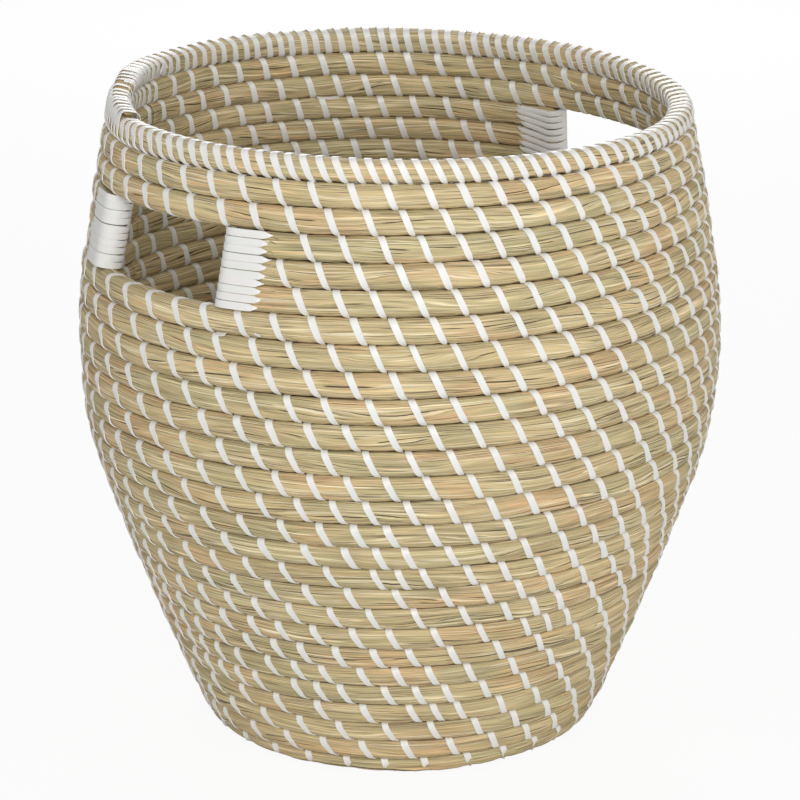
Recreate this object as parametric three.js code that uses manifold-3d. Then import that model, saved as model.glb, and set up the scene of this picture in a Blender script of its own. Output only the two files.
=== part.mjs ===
// Coiled seagrass basket with two hand openings.
//
// A bundle of dried grass winds out from the middle of the base, turns up into
// the wall and climbs one row in each turn, anticlockwise seen from above. The
// bundle is laid in one row at a time, so each row is a piece of its own and its
// ends butt against the rows before and after it. Three rows stop short on
// each side to leave a hand opening, and a flat white strip binds their ends.
//
// Units are millimetres and +Z is up. The basket stands on z = 0, centred on
// the axis of its coil, with its hand openings on -X and +X.

import * as THREE from 'three';
import Module from 'manifold-3d';

const wasm = await Module();
wasm.setup();

// Driving dimensions of the grass rows
const coilPitch = 14.5; // row to row, along the wall
const rowThickness = 13.6; // through the wall, where a row is fullest
const rowContact = 8; // width of the face that presses on the next row
const baseFlat = 6; // width of the flattened underside of a base row
const rowGap = 0.3; // between two pieces that touch
const loopGap = 0.5; // between two loops of the same piece

// Counts of rows, from the foot to the rim
const rowsBelowOpenings = 21;
const openingRows = 3;
const fullRowsAboveOpenings = 2;
const rimRows = 1;

// Radius of the middle of the coil: at the belly, where the basket is widest,
// and at equal steps up the wall from the foot to the end of the rim
const bellyRadius = 181.1;
const footRadius = 0.611 * bellyRadius;
const lowerWallRadius = 0.746 * bellyRadius;
const middleWallRadius = 0.8735 * bellyRadius;
const upperWallRadius = 0.9807 * bellyRadius;
const shoulderRadius = 0.9498 * bellyRadius;
const rimRadius = 0.8863 * bellyRadius;
const baseEyeRadius = 9; // where the coil starts, in the middle of the base

// The bend from the base up into the wall
const bendTurn = 0.3; // turns past the foot
const bendLength = 10;

// Hand openings and the strip that binds their edges
const openingWidth = 100; // clear width between the bound edges
const bindingWidth = 29; // from the rounded edge to where the strip goes through the wall
const stripWidth = 3.9;
const stripThickness = 0.5;
const stripPiercingWidth = 2.6; // the strip gathers where it goes through the grass
const stripGatherLength = 4;
const noseLength = 5; // rounded end of a row inside its binding
const noseScale = 0.6;

// End of the coil on the rim, which runs past the last seam and thins out onto
// the row below. Each pair gives millimetres from the end and the share that is left.
const rimOverlapAngle = 40;
const rimHeightShares = [[0, 0.16], [50, 0.38], [80, 0.82], [220, 1]];
const rimThicknessShares = [[0, 0.45], [80, 1], [220, 1]];

// The rim sags a little towards the front and the right. The rows under it are
// pressed together, each less than the row above it.
const sagDepth = 6.5;
const sagAngle = 290; // where the rim is lowest, in degrees from +X
const sagHalfAngle = 120; // degrees from there to where the rim is level
const sagRows = 3.2;
const sagGrowth = 1.4;

// Roundness of the model
const facetsPerTurn = 24;
const facetAngle = 360 / facetsPerTurn;
const profileStepsPerTurn = 96;
const bindingArcSteps = 5;

// Places where rows and openings sit round the basket, in degrees from +X
const seamAngle = 120; // where one row ends and the next begins
const openingAngles = { left: 180, right: 356.4 }; // not quite opposite each other

// Millimetres that each bound edge leans anticlockwise from its foot to its top
const edgeLeans = { leftBack: 5, leftFront: 3.7, rightFront: 0, rightBack: -2.7 };

const degree = Math.PI / 180;
const rimTurn = rowsBelowOpenings + openingRows + fullRowsAboveOpenings + rimRows;
const bendStart = bendTurn - bendLength / 2 / coilPitch;
const bendEnd = bendTurn + bendLength / 2 / coilPitch;

// Radius of the wall at a turn: a smooth curve through the outline's radii
const outline = [
  footRadius,
  lowerWallRadius,
  middleWallRadius,
  upperWallRadius,
  bellyRadius,
  shoulderRadius,
  rimRadius,
];
const lastStation = outline.length - 1;

// Growth of the radius at a station of the outline, from station to station
function outlineRate(station) {
  const before = Math.max(station - 1, 0);
  const after = Math.min(station + 1, lastStation);
  return (outline[after] - outline[before]) / (after - before);
}

function wallRadius(turn) {
  const place = (turn / rimTurn) * lastStation;
  if (place >= lastStation) {
    return rimRadius + outlineRate(lastStation) * (place - lastStation);
  }
  const station = Math.floor(place);
  const share = place - station;
  const squared = share * share;
  const cubed = squared * share;
  return (
    (2 * cubed - 3 * squared + 1) * outline[station] +
    (cubed - 2 * squared + share) * outlineRate(station) +
    (3 * squared - 2 * cubed) * outline[station + 1] +
    (cubed - squared) * outlineRate(station + 1)
  );
}

// Slope of the profile from the level, in radians: 0 on the base
function profileSlope(turn) {
  if (turn <= bendStart) return 0;
  if (turn < bendEnd) {
    const share = (turn - bendStart) / (bendEnd - bendStart);
    return profileSlope(bendEnd) * share * share * (3 - 2 * share);
  }
  const step = 1 / profileStepsPerTurn;
  const rate = (wallRadius(turn + step) - wallRadius(turn)) / step;
  return Math.acos(THREE.MathUtils.clamp(rate / coilPitch, -1, 1));
}

// Profile of the basket from the eye of the base to above the rim. Equal steps
// along it are equal shares of a turn, so neighbouring rows are always one
// pitch apart however the wall leans.
const flatBaseTurns = Math.ceil(footRadius / coilPitch) + 1;
const profile = [];
{
  const first = -flatBaseTurns * profileStepsPerTurn;
  const last = (rimTurn + 1) * profileStepsPerTurn;
  let radius = 0;
  let height = rowThickness / 2;
  for (let index = first; index <= last; index += 1) {
    const turn = index / profileStepsPerTurn;
    profile.push({ turn, radius, height });
    const slope = profileSlope(turn + 0.5 / profileStepsPerTurn);
    radius += (coilPitch / profileStepsPerTurn) * Math.cos(slope);
    height += (coilPitch / profileStepsPerTurn) * Math.sin(slope);
  }
  const wallStart = profile.find((point) => point.turn >= bendEnd);
  const shift = wallRadius(wallStart.turn) - wallStart.radius;
  for (const point of profile) point.radius += shift;
}

function profileAt(turn) {
  const place = (turn - profile[0].turn) * profileStepsPerTurn;
  const index = THREE.MathUtils.clamp(Math.floor(place), 0, profile.length - 2);
  const share = place - index;
  return {
    radius: THREE.MathUtils.lerp(profile[index].radius, profile[index + 1].radius, share),
    height: THREE.MathUtils.lerp(profile[index].height, profile[index + 1].height, share),
    slope: profileSlope(turn),
  };
}

function angleAt(turn) {
  return seamAngle + 360 * turn;
}

function turnsAlong(length, turn) {
  return length / (2 * Math.PI * profileAt(turn).radius);
}

function sagAt(angle, turn) {
  const share = Math.max(1 - (rimTurn - turn) / sagRows, 0);
  const away = Math.abs(THREE.MathUtils.euclideanModulo(angle - sagAngle + 180, 360) - 180);
  const across = (1 + Math.cos(Math.PI * Math.min(away / sagHalfAngle, 1))) / 2;
  return sagDepth * Math.pow(share, sagGrowth) * across;
}

// A point off the middle of the wall, on one of the rays between facets
function rayPoint(angle, turn, offset) {
  const { radius, height, slope } = profileAt(turn);
  const reach = radius + offset * Math.sin(slope);
  return new THREE.Vector3(
    reach * Math.cos(angle * degree),
    reach * Math.sin(angle * degree),
    height - offset * Math.cos(slope) - sagAt(angle, turn),
  );
}

// The same for any angle. Everything lies on the flat facets between two rays,
// so that pieces laid on each other keep one gap all the way round.
function wallPoint(angle, turn, offset) {
  const before = Math.floor(angle / facetAngle) * facetAngle;
  const past = angle - before;
  const start = rayPoint(before, turn - past / 360, offset);
  const end = rayPoint(before + facetAngle, turn + (facetAngle - past) / 360, offset);
  return start.lerp(end, past / facetAngle);
}

// Stops at both ends of a stretch and at each ray strictly between them
function stopsBetween(from, to) {
  const least = facetAngle / 100;
  const step = Math.sign(to - from) * facetAngle;
  const low = Math.min(from, to);
  const high = Math.max(from, to);
  const stops = [];
  for (let ray = Math.ceil(low / facetAngle); ray <= Math.floor(high / facetAngle); ray += 1) {
    const angle = ray * facetAngle;
    if (angle - low > least && high - angle > least) stops.push(angle);
  }
  if (step < 0) stops.reverse();
  return [from, ...stops, to];
}

// A closed body from rings of points, each ring joined to the next and the two
// end rings closed with a fan
function bodyFromRings(rings) {
  const sides = rings[0].length;
  const positions = rings.flat().flatMap((point) => [point.x, point.y, point.z]);
  const triangles = [];
  for (let ring = 0; ring + 1 < rings.length; ring += 1) {
    for (let side = 0; side < sides; side += 1) {
      const next = (side + 1) % sides;
      const a = ring * sides + side;
      const b = ring * sides + next;
      triangles.push(a, b, b + sides, a, b + sides, a + sides);
    }
  }
  const lastRing = (rings.length - 1) * sides;
  for (let side = 1; side + 1 < sides; side += 1) {
    triangles.push(0, side + 1, side);
    triangles.push(lastRing, lastRing + side, lastRing + side + 1);
  }
  const geometry = new THREE.BufferGeometry();
  geometry.setAttribute('position', new THREE.Float32BufferAttribute(positions, 3));
  geometry.setIndex(triangles);
  return facingOut(geometry);
}

function signedVolume(geometry) {
  const position = geometry.getAttribute('position');
  const index = geometry.getIndex();
  const corners = [new THREE.Vector3(), new THREE.Vector3(), new THREE.Vector3()];
  let volume = 0;
  for (let start = 0; start < index.count; start += 3) {
    corners.forEach((corner, turn) => corner.fromBufferAttribute(position, index.getX(start + turn)));
    volume += corners[0].dot(corners[1].clone().cross(corners[2])) / 6;
  }
  return volume;
}

function facingOut(geometry) {
  if (signedVolume(geometry) < 0) {
    const index = geometry.getIndex();
    for (let start = 0; start < index.count; start += 3) {
      const second = index.getX(start + 1);
      index.setX(start + 1, index.getX(start + 2));
      index.setX(start + 2, second);
    }
  }
  return geometry;
}

// Section of a row, as pairs of turns up the wall and millimetres off its middle
function wallSection() {
  const reach = 0.5 - rowGap / 2 / coilPitch;
  return [
    [-reach, -rowContact / 2],
    [-reach, rowContact / 2],
    [0, rowThickness / 2],
    [reach, rowContact / 2],
    [reach, -rowContact / 2],
    [0, -rowThickness / 2],
  ];
}

// A base row is also flat above and below, and keeps the wider gap to itself
function baseSection() {
  const reach = 0.5 - loopGap / 2 / coilPitch;
  const flat = baseFlat / 2 / coilPitch;
  return [
    [-reach, -rowContact / 2],
    [-reach, rowContact / 2],
    [-flat, rowThickness / 2],
    [flat, rowThickness / 2],
    [reach, rowContact / 2],
    [reach, -rowContact / 2],
    [flat, -rowThickness / 2],
    [-flat, -rowThickness / 2],
  ];
}

// A smaller section that still rests on the row below
function shrunkSection(section, heightShare, thicknessShare) {
  const foot = Math.min(...section.map(([rise]) => rise));
  return section.map(([rise, offset]) => [
    foot + (rise - foot) * heightShare,
    offset * thicknessShare,
  ]);
}

function noseSection(section) {
  return section.map(([rise, offset]) => [rise * (1 + noseScale) / 2, offset * noseScale]);
}

function ringAt(turn, section) {
  return section.map(([rise, offset]) => wallPoint(angleAt(turn), turn + rise, offset));
}

// A row from one turn to another, with rounded noses where its ends are bound
function rowRings(startTurn, endTurn, { section, sectionAt, noseAtStart, noseAtEnd }) {
  const shape = sectionAt ?? (() => section);
  const stops = stopsBetween(angleAt(startTurn), angleAt(endTurn));
  const turns = stops.map((angle) => (angle - seamAngle) / 360);
  const rings = turns.map((turn) => ringAt(turn, shape(turn)));
  if (noseAtStart) {
    const turn = startTurn - turnsAlong(noseLength, startTurn);
    rings.unshift(ringAt(turn, noseSection(shape(startTurn))));
  }
  if (noseAtEnd) {
    const turn = endTurn + turnsAlong(noseLength, endTurn);
    rings.push(ringAt(turn, noseSection(shape(endTurn))));
  }
  return rings;
}

// Least gap between the loops of one piece, measured between the points of
// rings at least half a loop apart
function leastGap(rings, ringsPerLoop) {
  let least = Infinity;
  for (let first = 0; first < rings.length; first += 1) {
    for (let second = first + Math.ceil(ringsPerLoop / 2); second < rings.length; second += 1) {
      for (const point of rings[first]) {
        for (const other of rings[second]) least = Math.min(least, point.distanceTo(other));
      }
    }
  }
  return least;
}

function reportGap(name, rings, ringsPerLoop) {
  console.log(`${name}: least gap to itself ${leastGap(rings, ringsPerLoop).toFixed(2)} mm`);
}

// The bound edges. Along the wall, s runs from the end of the rows into them,
// and across it n runs from the middle of the wall to the outside.
const stripOffset = rowThickness / 2 + rowGap + stripThickness / 2;
const bindingReach = stripOffset + stripThickness / 2; // how far a binding stands past the rows
const piercingDepth = bindingWidth - bindingReach - stripThickness / 2;
const bindingHeight = openingRows * coilPitch;
const loopCount = Math.floor(bindingHeight / (stripWidth + loopGap * 0.9));
const loopPitch = bindingHeight / loopCount;
const openingMiddleTurn = rowsBelowOpenings + openingRows / 2;
const openingHalfTurn =
  Math.asin(openingWidth / 2 / profileAt(openingMiddleTurn).radius) / (2 * Math.PI);

function edgeTurn(openingName, side) {
  const middle = (openingAngles[openingName] - seamAngle) / 360;
  const reach = openingHalfTurn + turnsAlong(bindingReach, openingMiddleTurn);
  return middle + side * reach;
}

// side is +1 where the rows start after the opening and -1 where they end at it
function edgeOf(name, openingName, side, lean) {
  return { name, turn: edgeTurn(openingName, side), side, lean };
}

const edges = [
  edgeOf('left_opening_back_binding', 'left', -1, edgeLeans.leftBack),
  edgeOf('left_opening_front_binding', 'left', 1, edgeLeans.leftFront),
  edgeOf('right_opening_front_binding', 'right', -1, edgeLeans.rightFront),
  edgeOf('right_opening_back_binding', 'right', 1, edgeLeans.rightBack),
];

// Turn of a leaning edge at a height up its binding
function edgeTurnAt(edge, v) {
  return edge.turn + turnsAlong(edge.lean * (v / bindingHeight - 0.5), openingMiddleTurn);
}

// Turn where one of the opening's rows ends, inside every loop that binds it
function rowEndTurn(edge, row) {
  const drawnIn = Math.abs(edge.lean) / openingRows / 2;
  return edgeTurnAt(edge, (row + 0.5) * coilPitch) + edge.side * turnsAlong(drawnIn, openingMiddleTurn);
}

// Place of a point on an edge: s along the wall, n across it, v up the binding
function edgePoint(edge, s, n, v) {
  const turn = edgeTurnAt(edge, v) + edge.side * turnsAlong(s, openingMiddleTurn);
  const rise = rowsBelowOpenings - 0.5 + v / coilPitch;
  return wallPoint(angleAt(turn), turn + rise, n);
}

// Depths along a leg of the strip where the wall bends, between two others
function bendsOnLeg(edge, fromS, toS, v) {
  const perTurn = edge.side / turnsAlong(1, openingMiddleTurn);
  const start = edgeTurnAt(edge, v);
  const angleOf = (s) => angleAt(start + s / perTurn);
  const stops = stopsBetween(angleOf(fromS), angleOf(toS)).slice(1, -1);
  return stops.map((angle) => ((angle - seamAngle) / 360 - start) * perTurn);
}

// Middle line of one strip: level outside, round the edge, climbing one step on
// the inside, and through the wall again
function bindingPath(edge) {
  const gatherStart = piercingDepth - stripGatherLength;
  const path = [];
  for (let loop = 0; loop < loopCount; loop += 1) {
    const level = (loop + 0.5) * loopPitch;
    const climbTo = (s) => level + (loopPitch * Math.max(s, 0)) / piercingDepth;
    const isLast = loop === loopCount - 1;
    path.push({ s: piercingDepth, n: -stripOffset, v: level, width: stripPiercingWidth });
    path.push({ s: piercingDepth, n: stripOffset, v: level, width: stripPiercingWidth });
    path.push({ s: gatherStart, n: stripOffset, v: level, width: stripWidth });
    for (const s of bendsOnLeg(edge, gatherStart, 0, level)) {
      path.push({ s, n: stripOffset, v: level, width: stripWidth });
    }
    for (let step = 0; step <= bindingArcSteps; step += 1) {
      const turned = (step / bindingArcSteps) * Math.PI;
      path.push({
        s: -stripOffset * Math.sin(turned),
        n: stripOffset * Math.cos(turned),
        v: level,
        width: stripWidth,
      });
    }
    for (const s of bendsOnLeg(edge, 0, gatherStart, level)) {
      path.push({ s, n: -stripOffset, v: climbTo(s), width: stripWidth });
    }
    const tailWidth = isLast ? stripPiercingWidth : stripWidth;
    path.push({ s: gatherStart, n: -stripOffset, v: climbTo(gatherStart), width: tailWidth });
  }
  return path;
}

// Rings of the flat strip: its width stands up the wall, its thickness across the path
function bindingRings(edge) {
  const path = bindingPath(edge);
  return path.map((point, index) => {
    const before = path[Math.max(index - 1, 0)];
    const after = path[Math.min(index + 1, path.length - 1)];
    const into = new THREE.Vector2(point.s - before.s, point.n - before.n);
    const out = new THREE.Vector2(after.s - point.s, after.n - point.n);
    if (into.length() === 0) into.copy(out);
    if (out.length() === 0) out.copy(into);
    const along = into.normalize().clone().add(out.normalize()).normalize();
    const mitre = stripThickness / 2 / Math.max(along.dot(into), 0.5);
    const across = new THREE.Vector2(-along.y, along.x).multiplyScalar(mitre);
    const half = point.width / 2;
    return [
      edgePoint(edge, point.s - across.x, point.n - across.y, point.v - half),
      edgePoint(edge, point.s + across.x, point.n + across.y, point.v - half),
      edgePoint(edge, point.s + across.x, point.n + across.y, point.v + half),
      edgePoint(edge, point.s - across.x, point.n - across.y, point.v + half),
    ];
  });
}

// A slit through the wall for each place where the strip goes through it
function slitBody(edge, loop) {
  const level = (loop + 0.5) * loopPitch;
  const halfHeight = stripPiercingWidth / 2 + rowGap;
  const halfLength = stripThickness / 2 + rowGap;
  const reach = rowThickness;
  const rings = [-reach, reach].map((n) => [
    edgePoint(edge, piercingDepth - halfLength, n, level - halfHeight),
    edgePoint(edge, piercingDepth + halfLength, n, level - halfHeight),
    edgePoint(edge, piercingDepth + halfLength, n, level + halfHeight),
    edgePoint(edge, piercingDepth - halfLength, n, level + halfHeight),
  ]);
  return bodyFromRings(rings);
}

function solidOf(geometry) {
  const vertProperties = new Float32Array(geometry.getAttribute('position').array);
  const triVerts = new Uint32Array(geometry.getIndex().array);
  return new wasm.Manifold(new wasm.Mesh({ numProp: 3, vertProperties, triVerts }));
}

function geometryOf(solid) {
  const mesh = solid.getMesh();
  const geometry = new THREE.BufferGeometry();
  geometry.setAttribute('position', new THREE.BufferAttribute(mesh.vertProperties, 3));
  geometry.setIndex(new THREE.BufferAttribute(mesh.triVerts, 1));
  return geometry;
}

function withSlits(geometry, boundEdges) {
  let solid = solidOf(geometry);
  for (const edge of boundEdges) {
    for (let loop = 0; loop < loopCount; loop += 1) {
      solid = solid.subtract(solidOf(slitBody(edge, loop)));
    }
  }
  return geometryOf(solid);
}

// Finishes
const grassColours = ['#b7a67c', '#a99a70', '#bfaa80', '#b19f78'];
const stripColour = '#ecebe8';

function grassMaterial(index) {
  return new THREE.MeshStandardMaterial({
    color: grassColours[index % grassColours.length],
    roughness: 0.8,
    metalness: 0,
  });
}

function stripMaterial() {
  return new THREE.MeshStandardMaterial({ color: stripColour, roughness: 0.4, metalness: 0 });
}

const basket = new THREE.Group();

function addPiece(name, geometry, material) {
  const mesh = new THREE.Mesh(geometry, material);
  mesh.name = name;
  basket.add(mesh);
}

// Base: one bundle wound flat, from its eye to the foot of the wall
const eyeTurn = bendStart - (profileAt(bendStart).radius - baseEyeRadius) / coilPitch;
const baseRings = rowRings(eyeTurn, -turnsAlong(rowGap / 2, 0), {
  section: baseSection(),
  noseAtStart: true,
});
reportGap('base_coil', baseRings, facetsPerTurn);
addPiece('base_coil', bodyFromRings(baseRings), grassMaterial(0));

// Full rows between two seams, each trimmed to clear its neighbours' ends
function seamToSeam(turn, options = {}) {
  const start = turn + turnsAlong(rowGap / 2, turn);
  const end = turn + 1 - turnsAlong(rowGap / 2, turn + 1);
  return bodyFromRings(rowRings(start, end, { section: wallSection(), ...options }));
}

for (let row = 0; row < rowsBelowOpenings; row += 1) {
  const name = `wall_row_${String(row + 1).padStart(2, '0')}`;
  addPiece(name, seamToSeam(row), grassMaterial(row + 1));
}

// Rows beside the openings. The front panel's rows run from opening to opening.
// The back panel's rows also cross the seam, so its lowest and highest pieces
// are short: they carry the coil up to the opening and on again above it.
const [leftBack, leftFront, rightFront, rightBack] = edges;

for (let row = 0; row < openingRows; row += 1) {
  const level = rowsBelowOpenings + row;
  const rings = rowRings(level + rowEndTurn(leftFront, row), level + rowEndTurn(rightFront, row), {
    section: wallSection(),
    noseAtStart: true,
    noseAtEnd: true,
  });
  const geometry = withSlits(bodyFromRings(rings), [leftFront, rightFront]);
  addPiece(`front_panel_row_${row + 1}`, geometry, grassMaterial(row + 2));
}

for (let row = 0; row <= openingRows; row += 1) {
  const level = rowsBelowOpenings + row;
  const isLowest = row === 0;
  const isHighest = row === openingRows;
  const rings = rowRings(
    isLowest ? level + turnsAlong(rowGap / 2, level) : level - 1 + rowEndTurn(rightBack, row - 1),
    isHighest ? level - turnsAlong(rowGap / 2, level) : level + rowEndTurn(leftBack, row),
    { section: wallSection(), noseAtStart: !isLowest, noseAtEnd: !isHighest },
  );
  const boundEdges = [...(isHighest ? [] : [leftBack]), ...(isLowest ? [] : [rightBack])];
  const geometry = withSlits(bodyFromRings(rings), boundEdges);
  addPiece(`back_panel_row_${row + 1}`, geometry, grassMaterial(row));
}

// Full rows over the openings, then the rim, whose end thins out
for (let row = 0; row < fullRowsAboveOpenings; row += 1) {
  const level = rowsBelowOpenings + openingRows + row;
  addPiece(`upper_row_${row + 1}`, seamToSeam(level), grassMaterial(row + 3));
}

const rimEndTurn = rimTurn + rimOverlapAngle / 360;

// Share left at a distance from the end, between the two pairs beside it
function shareLeft(pairs, distance) {
  const next = pairs.findIndex(([place]) => place > distance);
  if (next === -1) return pairs[pairs.length - 1][1];
  const [before, after] = [pairs[next - 1], pairs[next]];
  const past = (distance - before[0]) / (after[0] - before[0]);
  return THREE.MathUtils.lerp(before[1], after[1], past);
}

function rimSection(turn) {
  const distance = Math.max(rimEndTurn - turn, 0) / turnsAlong(1, rimTurn);
  return shrunkSection(
    wallSection(),
    shareLeft(rimHeightShares, distance),
    shareLeft(rimThicknessShares, distance),
  );
}

const rimRings = rowRings(rimTurn - rimRows + turnsAlong(rowGap / 2, rimTurn), rimEndTurn, {
  section: wallSection(),
  sectionAt: rimSection,
});
reportGap('rim_row', rimRings, facetsPerTurn);
addPiece('rim_row', bodyFromRings(rimRings), grassMaterial(1));

// Bindings, each one unbroken strip
for (const edge of edges) {
  const rings = bindingRings(edge);
  reportGap(edge.name, rings, rings.length / loopCount);
  addPiece(edge.name, bodyFromRings(rings), stripMaterial());
}

export default basket;
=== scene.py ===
# %% [markdown]
# A coiled basket is one long bundle of dried seagrass. It starts as a flat
# spiral under the base, turns up at the foot and climbs one row in each turn,
# while a flat white strip sews every row to the one below. This notebook
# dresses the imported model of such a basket: every plain row becomes a bundle
# with its own stems, and the sewing is added stitch by stitch.
#
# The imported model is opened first. Its box is kept, to compare with the box of
# the dressed basket at the end.

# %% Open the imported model
import math

import bmesh
import bpy
import numpy as np
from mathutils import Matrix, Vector


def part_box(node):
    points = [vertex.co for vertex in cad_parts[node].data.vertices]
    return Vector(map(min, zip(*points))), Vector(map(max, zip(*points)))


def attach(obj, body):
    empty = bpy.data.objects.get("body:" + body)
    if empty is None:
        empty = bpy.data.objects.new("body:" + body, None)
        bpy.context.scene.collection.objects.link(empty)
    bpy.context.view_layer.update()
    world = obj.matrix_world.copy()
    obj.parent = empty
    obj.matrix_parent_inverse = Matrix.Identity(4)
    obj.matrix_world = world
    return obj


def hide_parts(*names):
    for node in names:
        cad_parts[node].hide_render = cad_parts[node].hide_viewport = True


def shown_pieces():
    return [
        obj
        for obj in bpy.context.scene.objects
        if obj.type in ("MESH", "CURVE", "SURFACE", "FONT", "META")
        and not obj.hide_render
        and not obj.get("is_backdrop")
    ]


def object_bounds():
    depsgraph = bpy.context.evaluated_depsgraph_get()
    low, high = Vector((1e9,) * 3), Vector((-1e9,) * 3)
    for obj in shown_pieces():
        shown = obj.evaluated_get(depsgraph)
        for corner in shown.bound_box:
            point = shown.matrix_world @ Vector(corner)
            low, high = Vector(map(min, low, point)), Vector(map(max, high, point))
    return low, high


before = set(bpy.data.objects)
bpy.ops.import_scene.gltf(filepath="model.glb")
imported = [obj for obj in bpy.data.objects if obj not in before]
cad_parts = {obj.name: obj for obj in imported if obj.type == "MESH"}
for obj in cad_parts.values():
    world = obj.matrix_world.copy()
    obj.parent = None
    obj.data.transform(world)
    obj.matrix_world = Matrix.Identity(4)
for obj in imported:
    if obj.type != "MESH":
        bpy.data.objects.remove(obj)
model_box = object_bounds()
print("rows and bindings in the model:", len(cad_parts))

# %% [markdown]
# The camera stands where the photograph was taken from: a long lens less than
# two metres away, higher than the rim and looking down. A long lens keeps the
# far side of the rim nearly as wide as the near side. The values came from
# matching the heights and widths of the rows in the photograph.

# %% Camera
CAMERA_DISTANCE = 1.7522
CAMERA_HEIGHT = 0.7374
CAMERA_SIDE = math.radians(-39.75)
CAMERA_TILT = math.radians(17.304)
CAMERA_SENSOR = 36
CAMERA_LENS = 138.72

camera_data = bpy.data.cameras.new("camera")
camera_data.sensor_width = CAMERA_SENSOR
camera_data.lens = CAMERA_LENS
camera = bpy.data.objects.new("camera", camera_data)
bpy.context.scene.collection.objects.link(camera)
bpy.context.scene.camera = camera
camera.location = (
    CAMERA_DISTANCE * math.sin(CAMERA_SIDE),
    -CAMERA_DISTANCE * math.cos(CAMERA_SIDE),
    CAMERA_HEIGHT,
)
camera.rotation_euler = (math.pi / 2 - CAMERA_TILT, 0, CAMERA_SIDE)
print("camera at", [round(place, 3) for place in camera.location])

# %% [markdown]
# Every piece follows the same outline, so it is worked out once. A place on
# the basket is given by the turn of the coil, which counts rows from the foot
# up, by a rise above the middle of the row, and by a distance out from it. The
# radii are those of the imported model, in metres. Equal steps up the wall are
# equal shares of a turn, so each row rests exactly on the row below it. The
# rim sags a little towards the front and the right, as a handmade one does.

# %% Outline of the basket
PITCH = 0.0145
ROW_THICKNESS = 0.0136
ROWS_BELOW_OPENINGS = 21
OPENING_ROWS = 3
FULL_ROWS_ABOVE = 2
RIM_TURN = ROWS_BELOW_OPENINGS + OPENING_ROWS + FULL_ROWS_ABOVE + 1
RIM_END_TURN = RIM_TURN + 40 / 360
BELLY_RADIUS = 0.1811
OUTLINE = BELLY_RADIUS * np.array([0.611, 0.746, 0.8735, 0.9807, 1, 0.9498, 0.8863])
LAST_STATION = len(OUTLINE) - 1
BASE_EYE_RADIUS = 0.009
BEND_TURN = 0.3
BEND_LENGTH = 0.010
BEND_START = BEND_TURN - BEND_LENGTH / 2 / PITCH
BEND_END = BEND_TURN + BEND_LENGTH / 2 / PITCH
SEAM_ANGLE = math.radians(120)
STEPS_PER_TURN = 96
SAG_DEPTH = 0.0065
SAG_ANGLE = math.radians(290)
SAG_HALF_ANGLE = math.radians(120)
SAG_ROWS = 3.2
SAG_GROWTH = 1.4
BELLY_ROW = 18
BELLY_TURN = BELLY_ROW - 1 + (math.radians(360) - SEAM_ANGLE) / (2 * math.pi)

station_before = np.maximum(np.arange(LAST_STATION + 1) - 1, 0)
station_after = np.minimum(np.arange(LAST_STATION + 1) + 1, LAST_STATION)
outline_rate = (OUTLINE[station_after] - OUTLINE[station_before]) / (station_after - station_before)


def wall_radius(turn):
    """Radius of the middle of the wall, on a smooth curve through the outline."""
    place = np.asarray(turn, float) / RIM_TURN * LAST_STATION
    station = np.clip(np.floor(place).astype(int), 0, LAST_STATION - 1)
    share = place - station
    squared = share**2
    cubed = share**3
    on_curve = (
        (2 * cubed - 3 * squared + 1) * OUTLINE[station]
        + (cubed - 2 * squared + share) * outline_rate[station]
        + (3 * squared - 2 * cubed) * OUTLINE[station + 1]
        + (cubed - squared) * outline_rate[station + 1]
    )
    past_rim = OUTLINE[-1] + outline_rate[-1] * (place - LAST_STATION)
    return np.where(place >= LAST_STATION, past_rim, on_curve)


def wall_slope(turn):
    """Lean of the wall: 0 where it lies flat in the base, a right angle where it stands."""
    turn = np.asarray(turn, float)
    step = 1 / STEPS_PER_TURN
    bend = np.clip((turn - BEND_START) / (BEND_END - BEND_START), 0, 1)
    upper_turn = np.maximum(turn, BEND_END)
    growth = (wall_radius(upper_turn + step) - wall_radius(upper_turn)) / step / PITCH
    return np.arccos(np.clip(growth, -1, 1)) * bend**2 * (3 - 2 * bend)


FLAT_TURNS = math.ceil(OUTLINE[0] / PITCH) + 1
profile_turn = np.arange(-FLAT_TURNS * STEPS_PER_TURN, (RIM_TURN + 1) * STEPS_PER_TURN + 1) / STEPS_PER_TURN
step_slope = wall_slope(profile_turn[:-1] + 0.5 / STEPS_PER_TURN)
profile_radius = np.concatenate([[0], np.cumsum(np.cos(step_slope))]) * PITCH / STEPS_PER_TURN
profile_height = np.concatenate([[0], np.cumsum(np.sin(step_slope))]) * PITCH / STEPS_PER_TURN
profile_height += ROW_THICKNESS / 2
wall_start = np.searchsorted(profile_turn, BEND_END)
profile_radius += wall_radius(profile_turn[wall_start]) - profile_radius[wall_start]
profile_slope = wall_slope(profile_turn)
loop_radius = np.maximum(profile_radius[1:], BASE_EYE_RADIUS / 2)
coil_length = np.concatenate([[0], np.cumsum(2 * math.pi * loop_radius / STEPS_PER_TURN)])
coil_length -= np.interp(0, profile_turn, coil_length)
EYE_TURN = BEND_START - (np.interp(BEND_START, profile_turn, profile_radius) - BASE_EYE_RADIUS) / PITCH
CURLED_IN = 0.75


def length_at(turn):
    """Metres along the coil from the foot of the wall."""
    return np.interp(turn, profile_turn, coil_length)


def turn_at(length):
    return np.interp(length, coil_length, profile_turn)


def radius_at(turn):
    return np.interp(turn, profile_turn, profile_radius)


def sag_at(angle, level):
    """How far the rim and the rows under it have sunk at an angle round the basket."""
    share = np.maximum(1 - (RIM_TURN - level) / SAG_ROWS, 0)
    away = np.abs(np.mod(angle - SAG_ANGLE + math.pi, 2 * math.pi) - math.pi)
    across = (1 + np.cos(math.pi * np.minimum(away / SAG_HALF_ANGLE, 1))) / 2
    return SAG_DEPTH * share**SAG_GROWTH * across


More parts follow.
